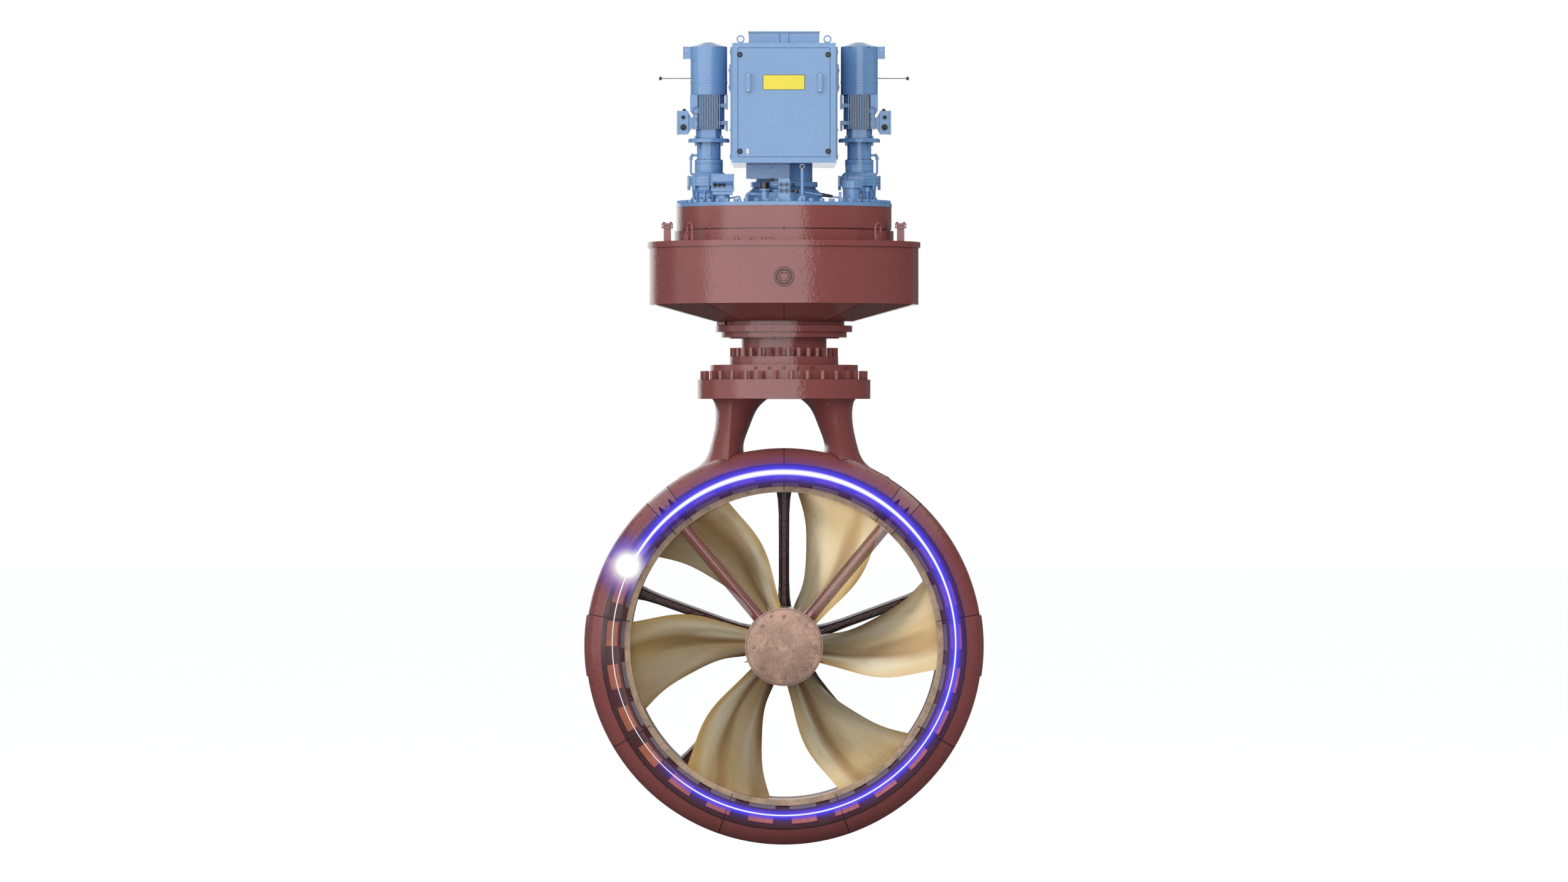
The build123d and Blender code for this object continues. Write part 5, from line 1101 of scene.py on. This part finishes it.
class THRUSTER_OT_door_trim(bpy.types.Operator):
    """Panel line, lock rings, plain plates and handle screws on the cabinet's cover"""

    bl_idname = "thruster.door_trim"
    bl_label = "Door trim"

    # Edges as low and high x, then low and high z
    panel_line = (-0.2833, 0.2833, 0.5505, 1.2215)
    yellow, yellow_border = (-0.130, 0.128, 0.9625, 1.0555), (-0.1285, 0.1265, 0.964, 1.054)
    tag, tag_screw = (-0.2315, -0.2165, 0.569, 0.600), (-0.224, 0.5605)
    lock_x, lock_z = 0.272, (0.584, 1.179)
    handle_x, handle_z, handle_half = 0.221, 1.005, 0.046

    def execute(self, context):
        body, y = "cabinet_cover", door_front
        beads("door_panel_line", body, "line_blue", [upright_frame(*self.panel_line, y)], 1.6)
        locks = [circle((side * self.lock_x, y, z), 15) for side in (-1, 1) for z in self.lock_z]
        beads("lock_rings", body, "black_plastic", locks, 2.6)
        plate("plain_plate", body, "plain_yellow", self.yellow, y, 2, 4)
        border = upright_frame(*self.yellow_border, y - 1.2 * MM, 4)
        beads("plate_border", body, "seam_black", [border], 1.5)
        plate("white_tag", body, "tag_white", self.tag, y, 1.5, 2)
        screws = [((self.tag_screw[0], y, self.tag_screw[1]), FRONT)]
        screws += [
            ((side * self.handle_x, y - HANDLE, self.handle_z + end * self.handle_half), FRONT)
            for side in (-1, 1) for end in (-1, 1)
        ]
        fittings("door_screws", body, "machined_steel", screws, (4.5, 2))
        return {"FINISHED"}


class THRUSTER_OT_drive_trim(bpy.types.Operator):
    """Plugs, glands, loops and screws of the two steering drives"""

    bl_idname = "thruster.drive_trim"
    bl_label = "Drive trim"

    # Places in millimetres from a motor's middle: outwards, along the shaft and up from the hull flange
    small, large, gland = (158, -60, 812), (157, -60, 750), (152, -18, 852)
    bolts, box_screw = ((76, -98, 801), (76, -98, 753)), (140, -35, 1229)
    cowl_screw = (56, -100.5, 1245)
    loop = (
        (64, -96, 836), (64, -101, 840), (64, -104, 850), (64, -104, 862), (70, -104, 870),
        (82, -104, 873), (94, -104, 868), (100, -104, 856), (100, -103, 842), (100, -96, 832),
    )
    knob = (291.5, 0, 1056)

    def execute(self, context):
        black = "black_plastic"
        self.both("large_plugs", black, [self.large], FRONT, (13, 9), (18.6, 6), 24)
        self.both("small_plugs", black, [self.small], FRONT, (8, 8), (12, 5), 24)
        self.both("box_glands", black, [self.gland], UP, (10, 9), (13.7, 5), 24)
        self.both("casing_bolts", "machinery_blue", self.bolts, FRONT, (5.5, 5), (8, 1.5), 6)
        screws = []
        for side in SIDES.values():
            out, y, z = self.cowl_screw
            for x in (-out, out):
                screws.append((self.at(side, (x, y, z)), Vector((side * x, y, 0)).normalized()))
            screws.append((self.at(side, self.box_screw), FRONT))
        fittings("cowl_screws", "root", "machined_steel", screws, (5, 3))
        loops = [[self.at(side, place) for place in self.loop] for side in SIDES.values()]
        beads("motor_loops", "root", "machinery_blue", loops, 4, closed=False)
        for name, side in SIDES.items():
            knob = [(self.at(side, self.knob), (side, 0, 0))]
            fittings(f"lever_knob_{name}", f"brake_lever_{name}", black, knob, (10.6, 16), (8, 2), 24)
        return {"FINISHED"}

    def at(self, side, place):
        """A place at a motor, mirrored for the left one."""
        x, y, z = place
        return Vector((side * (motor_x + x * MM), y * MM, z * MM))

    def both(self, name, finish, places, way, *sizes):
        """The same fittings on both drives."""
        pairs = [(self.at(side, place), way) for side in SIDES.values() for place in places]
        fittings(name, "root", finish, pairs, *sizes)


class THRUSTER_OT_deck_trim(bpy.types.Operator):
    """Glands, caps, couplings and port rings of the fittings on the cover plate"""

    bl_idname = "thruster.deck_trim"
    bl_label = "Deck trim"

    gland_way, gland_x, gland_y, gland_z = (0.0, -27.0, -22.0), (-0.422, -0.397, -0.371), -0.4132, 0.385
    caps = [
        ((0.045, -0.578, 0.3785), RIGHT), ((0.045, -0.578, 0.3415), RIGHT),
        ((0.083, -0.5775, 0.326), UP), ((-0.071, -0.578, 0.398), UP), ((-0.094, -0.578, 0.3415), RIGHT),
    ]
    coupling, coupling_way = (0.238, -0.5505, 0.3165), (0.81, 0.58, -0.105)
    port_x, port_y, port_z = (-0.017, 0.017), -0.6122, (0.3415, 0.3785)
    gauge_x, gauge_y, gauge_foot, stalk_top = 0.515, -0.31, 0.341, 0.35

    def execute(self, context):
        down = Vector(self.gland_way).normalized()
        glands = [((x, self.gland_y, self.gland_z), down) for x in self.gland_x]
        fittings("box_front_glands", "root", "black_plastic", glands, (7, 12), (10, 5))
        fittings("union_caps", "root", "black_plastic", self.caps, (10, 18), (11.5, 4))
        coupling = [(self.coupling, Vector(self.coupling_way).normalized())]
        fittings("line_coupling", "root", "black_plastic", coupling, (10.5, 62), (12.5, 10), 12)
        rings = [
            circle((x, self.port_y, z), radius, 24)
            for x in self.port_x for z in self.port_z for radius in (13.2, 6.2)
        ]
        beads("port_rings", "root", "seam_black", rings, 1.2)
        stalk = [Vector((self.gauge_x, self.gauge_y, z)) for z in (cover_top, self.stalk_top)]
        beads("gauge_stalk", "root", "machinery_blue", [stalk], 4, closed=False)
        gauge = [((self.gauge_x, self.gauge_y, self.gauge_foot), UP)]
        fittings("gauge_head", "root", "machinery_blue", gauge, (14, 24), (11, 3))
        return {"FINISHED"}


class THRUSTER_OT_cabinet_trim(bpy.types.Operator):
    """Screws of the cabinet's side panels and the seams of its hood"""

    bl_idname = "thruster.cabinet_trim"
    bl_label = "Cabinet trim"

    seam_x, seam_y, seam_z = (-0.027, 0.031), -0.3102, (1.254, 1.320)
    # Screws of each side panel: places along and up, and how far out the panel is
    panel_x, hatch_x = 0.330, 0.340
    grids = (
        (panel_x, (-0.48, -0.24, 0.0, 0.24, 0.48), (0.56, 1.206)),
        (panel_x, (-0.48, 0.48), (0.72, 1.046)),
        (hatch_x, (-0.12, 0.12), (1.0, 1.106)),
    )

    def execute(self, context):
        seams = [[Vector((x, self.seam_y, z)) for z in self.seam_z] for x in self.seam_x]
        beads("hood_seams", "root", "seam_black", seams, 1.4, closed=False)
        screws = [
            ((side * x, y, z), (side, 0, 0))
            for side in SIDES.values() for x, along, up in self.grids for y in along for z in up
        ]
        fittings("panel_screws", "root", "machined_steel", screws, (6, 3.5), (9, 1))
        return {"FINISHED"}


class THRUSTER_OT_hull_trim(bpy.types.Operator):
    """Edge lines of the drum's foot, notches of the housing's seam and plugs of the flanges"""

    bl_idname = "thruster.hull_trim"
    bl_label = "Hull trim"

    foot_sides, foot_ends = 10, ((0.8325, -0.3515), (0.443, -0.4545))
    notch_turns, notch_r, notch_z = (0.0, 46.6, -46.6), 0.6665, (0.1045, 0.127)
    plug_z, plug_y, hexagon_y = -0.191, -0.8432, -0.8425
    flange_x, flange_r, flange_z = (-0.123, -0.290), 0.836, 0.036
    seal_x, seal_r, seal_z = (-0.18, -0.071, 0.24), 0.425, -0.5015
    block_place, block_size = (-0.391, -0.085, -0.4685), (0.052, 0.060, 0.0270)

    def execute(self, context):
        edges = []
        for index in range(self.foot_sides):
            turn = 2 * pi * (index + 0.5) / self.foot_sides
            way = Vector((cos(turn), sin(turn), 0.0))
            edges.append([way * radius + Vector((0, 0, z)) for radius, z in self.foot_ends])
        beads("foot_edges", "root", "seam_black", edges, 1.6, closed=False, slot="red_paint")
        notches = [
            [heading(turn) * self.notch_r + Vector((0, 0, z)) for z in self.notch_z]
            for turn in self.notch_turns
        ]
        beads("seam_notches", "root", "seam_black", notches, 3, closed=False)
        # Near-black rings in the tank plug's grooves and round its hexagon socket: painted shade
        rings = [circle((0, self.plug_y, self.plug_z), radius, 60) for radius in (57.5, 47, 38)]
        rings.append(circle((0, self.hexagon_y, self.plug_z), 29.5, 6))
        beads("plug_rings", "root", "seam_black", rings, 1.5)
        plugs = [((x, -sqrt(self.flange_r**2 - x**2), self.flange_z), UP) for x in self.flange_x]
        fittings("flange_plugs", "root", "hull_red", plugs, (13, 14), (17, 5), 6)
        plugs = []
        for x in self.seal_x:
            y = -sqrt(self.seal_r**2 - x**2)
            plugs.append(((x, y, self.seal_z), Vector((x, y, 0.0)).normalized()))
        fittings("seal_plugs", "root", "hull_red", plugs, (6, 3), (11, 2), 6)
        finish_piece("neck_block", self.neck_block(), "root", "hull_red")
        return {"FINISHED"}

    def neck_block(self):
        work = bmesh.new()
        bmesh.ops.create_cube(work, size=1.0)
        place = Matrix.Translation(self.block_place) @ Matrix.Diagonal((*self.block_size, 1.0))
        bmesh.ops.transform(work, matrix=place, verts=work.verts)
        bmesh.ops.bevel(
            work, geom=list(work.edges), offset=3 * MM, segments=2, affect="EDGES", profile=0.7
        )
        return mesh_from_work("neck_block", work)


class THRUSTER_OT_nozzle_trim(bpy.types.Operator):
    """Seams, ticks and plugs of the front castings, and the rings of the hub cap's bolts"""

    bl_idname = "thruster.nozzle_trim"
    bl_label = "Nozzle trim"

    # Radii in millimetres, angles in degrees
    seam_angles = (0.0, 36.2, 43.8, 80.6, 120.6, 160.6, 199.4, 239.4, 279.4, 316.2, 323.8)
    seam_radii, tick_radii = range(962, 1227, 6), (1126, 1131, 1136)
    tick_steps, steps_to_joint = 36, 9
    plug_radius, plugs_per_casting, narrowest_casting = 1205, 5, 10
    cap_bolts, cap_bolt_r, edge_r = 8, 0.190, 231.5
    jack_r, jack_turns, dome_half, dome_rise = 0.205, (-22.5, 157.5), 0.238, 0.016
    adapter_turns = (0, 11.25, -11.25, 22.5, -22.5, 56, 124, 180, 236)
    adapter_r, adapter_z = 0.4595, -0.747

    def execute(self, context):
        seams = [
            [self.on_nose(radius, radians(angle), -0.6) for radius in self.seam_radii]
            for angle in self.seam_angles
        ]
        beads("casting_seams", "steering_unit", "seam_black", seams, 2.6, closed=False)
        ticks = [
            [self.on_nose(radius, 2 * pi * index / self.tick_steps, 0.2) for radius in self.tick_radii]
            for index in range(self.tick_steps) if index % self.steps_to_joint
        ]
        beads("cover_ticks", "steering_unit", "seam_black", ticks, 2.4, closed=False)
        normal = nose_at(self.plug_radius * MM)[1]
        plugs = []
        for first, last in zip(self.seam_angles, (*self.seam_angles[1:], 360.0)):
            if last - first < self.narrowest_casting:
                continue
            for index in range(self.plugs_per_casting):
                angle = radians(first + (last - first) * (index + 0.5) / self.plugs_per_casting)
                way = about_shaft(normal.x, normal.y, angle) - Vector((0.0, 0.0, nozzle_z))
                plugs.append((self.on_nose(self.plug_radius, angle, 0), way))
        fittings("casting_plugs", "steering_unit", "nozzle_red", plugs, (7, 1.5), (13, 1.2), 20)
        self.cap_trim()
        self.adapter_trim()
        return {"FINISHED"}

    def on_nose(self, radius, angle, lift):
        """A place on the front casting, raised from it."""
        along, normal = nose_at(radius * MM)
        return about_shaft(radius * MM + normal.x * lift * MM, along + normal.y * lift * MM, angle)

    def cap_trim(self):
        turns = [2 * pi * index / self.cap_bolts for index in range(self.cap_bolts)]
        middles = [about_shaft(self.cap_bolt_r, cap_y - 10.4 * MM, turn) for turn in turns]
        rings = [circle(middle, 8.4, 20) for middle in middles]
        beads("cap_bolt_rings", "steering_unit", "ring_green", rings, 1.4)
        dome_r = (self.dome_half**2 + self.dome_rise**2) / (2 * self.dome_rise)
        along = cap_y - self.dome_rise + dome_r - sqrt(dome_r**2 - self.jack_r**2)
        jacks = [(about_shaft(self.jack_r, along, radians(turn)), FRONT) for turn in self.jack_turns]
        fittings("cap_jacks", "steering_unit", "jack_teal", jacks, (4.5, 2.5))
        edge = circle((0, cap_y - 1.6 * MM, nozzle_z), self.edge_r, 120)
        beads("cap_edge_line", "steering_unit", "seam_brown", [edge], 1.2)

    def adapter_trim(self):
        ways = [heading(turn) for turn in self.adapter_turns]
        plugs = [(way * self.adapter_r + Vector((0, 0, self.adapter_z)), way) for way in ways]
        fittings("adapter_plugs", "steering_unit", "nozzle_red", plugs, (6, 3), (11, 2), 6)
        rings = [circle(place + way * 2.2 * MM, 9, 20, way.cross(Vector(UP))) for place, way in plugs]
        beads("adapter_rings", "steering_unit", "seam_black", rings, 1.3)


class THRUSTER_PT_panel(bpy.types.Panel):
    """Lists the steps that finish the thruster"""

    bl_label = "Rim-drive thruster"
    bl_idname = "THRUSTER_PT_panel"
    bl_space_type = "VIEW_3D"
    bl_region_type = "UI"
    bl_category = "Thruster"

    def draw(self, context):
        for name, group in SETTINGS.items():
            box = self.layout.box()
            for key in group.__annotations__:
                box.prop(getattr(context.scene, name), key)
        for operator in OPERATORS:
            self.layout.operator(operator.bl_idname)


OPERATORS = (
    THRUSTER_OT_studio,
    THRUSTER_OT_finishes,
    THRUSTER_OT_glow,
    THRUSTER_OT_rear_spider,
    THRUSTER_OT_door_trim,
    THRUSTER_OT_drive_trim,
    THRUSTER_OT_deck_trim,
    THRUSTER_OT_cabinet_trim,
    THRUSTER_OT_hull_trim,
    THRUSTER_OT_nozzle_trim,
)


def register():
    for group in SETTINGS.values():
        bpy.utils.register_class(group)
    for operator in OPERATORS:
        bpy.utils.register_class(operator)
    bpy.utils.register_class(THRUSTER_PT_panel)
    for name, group in SETTINGS.items():
        setattr(bpy.types.Scene, name, PointerProperty(type=group))


def unregister():
    for name in SETTINGS:
        delattr(bpy.types.Scene, name)
    bpy.utils.unregister_class(THRUSTER_PT_panel)
    for operator in reversed(OPERATORS):
        bpy.utils.unregister_class(operator)
    for group in reversed(SETTINGS.values()):
        bpy.utils.unregister_class(group)


def main():
    register()
    bpy.ops.thruster.studio()
    bpy.ops.thruster.finishes()
    bpy.ops.thruster.glow()
    bpy.ops.thruster.rear_spider()
    bpy.ops.thruster.door_trim()
    bpy.ops.thruster.drive_trim()
    bpy.ops.thruster.deck_trim()
    bpy.ops.thruster.cabinet_trim()
    bpy.ops.thruster.hull_trim()
    bpy.ops.thruster.nozzle_trim()


if __name__ == "__main__":
    main()
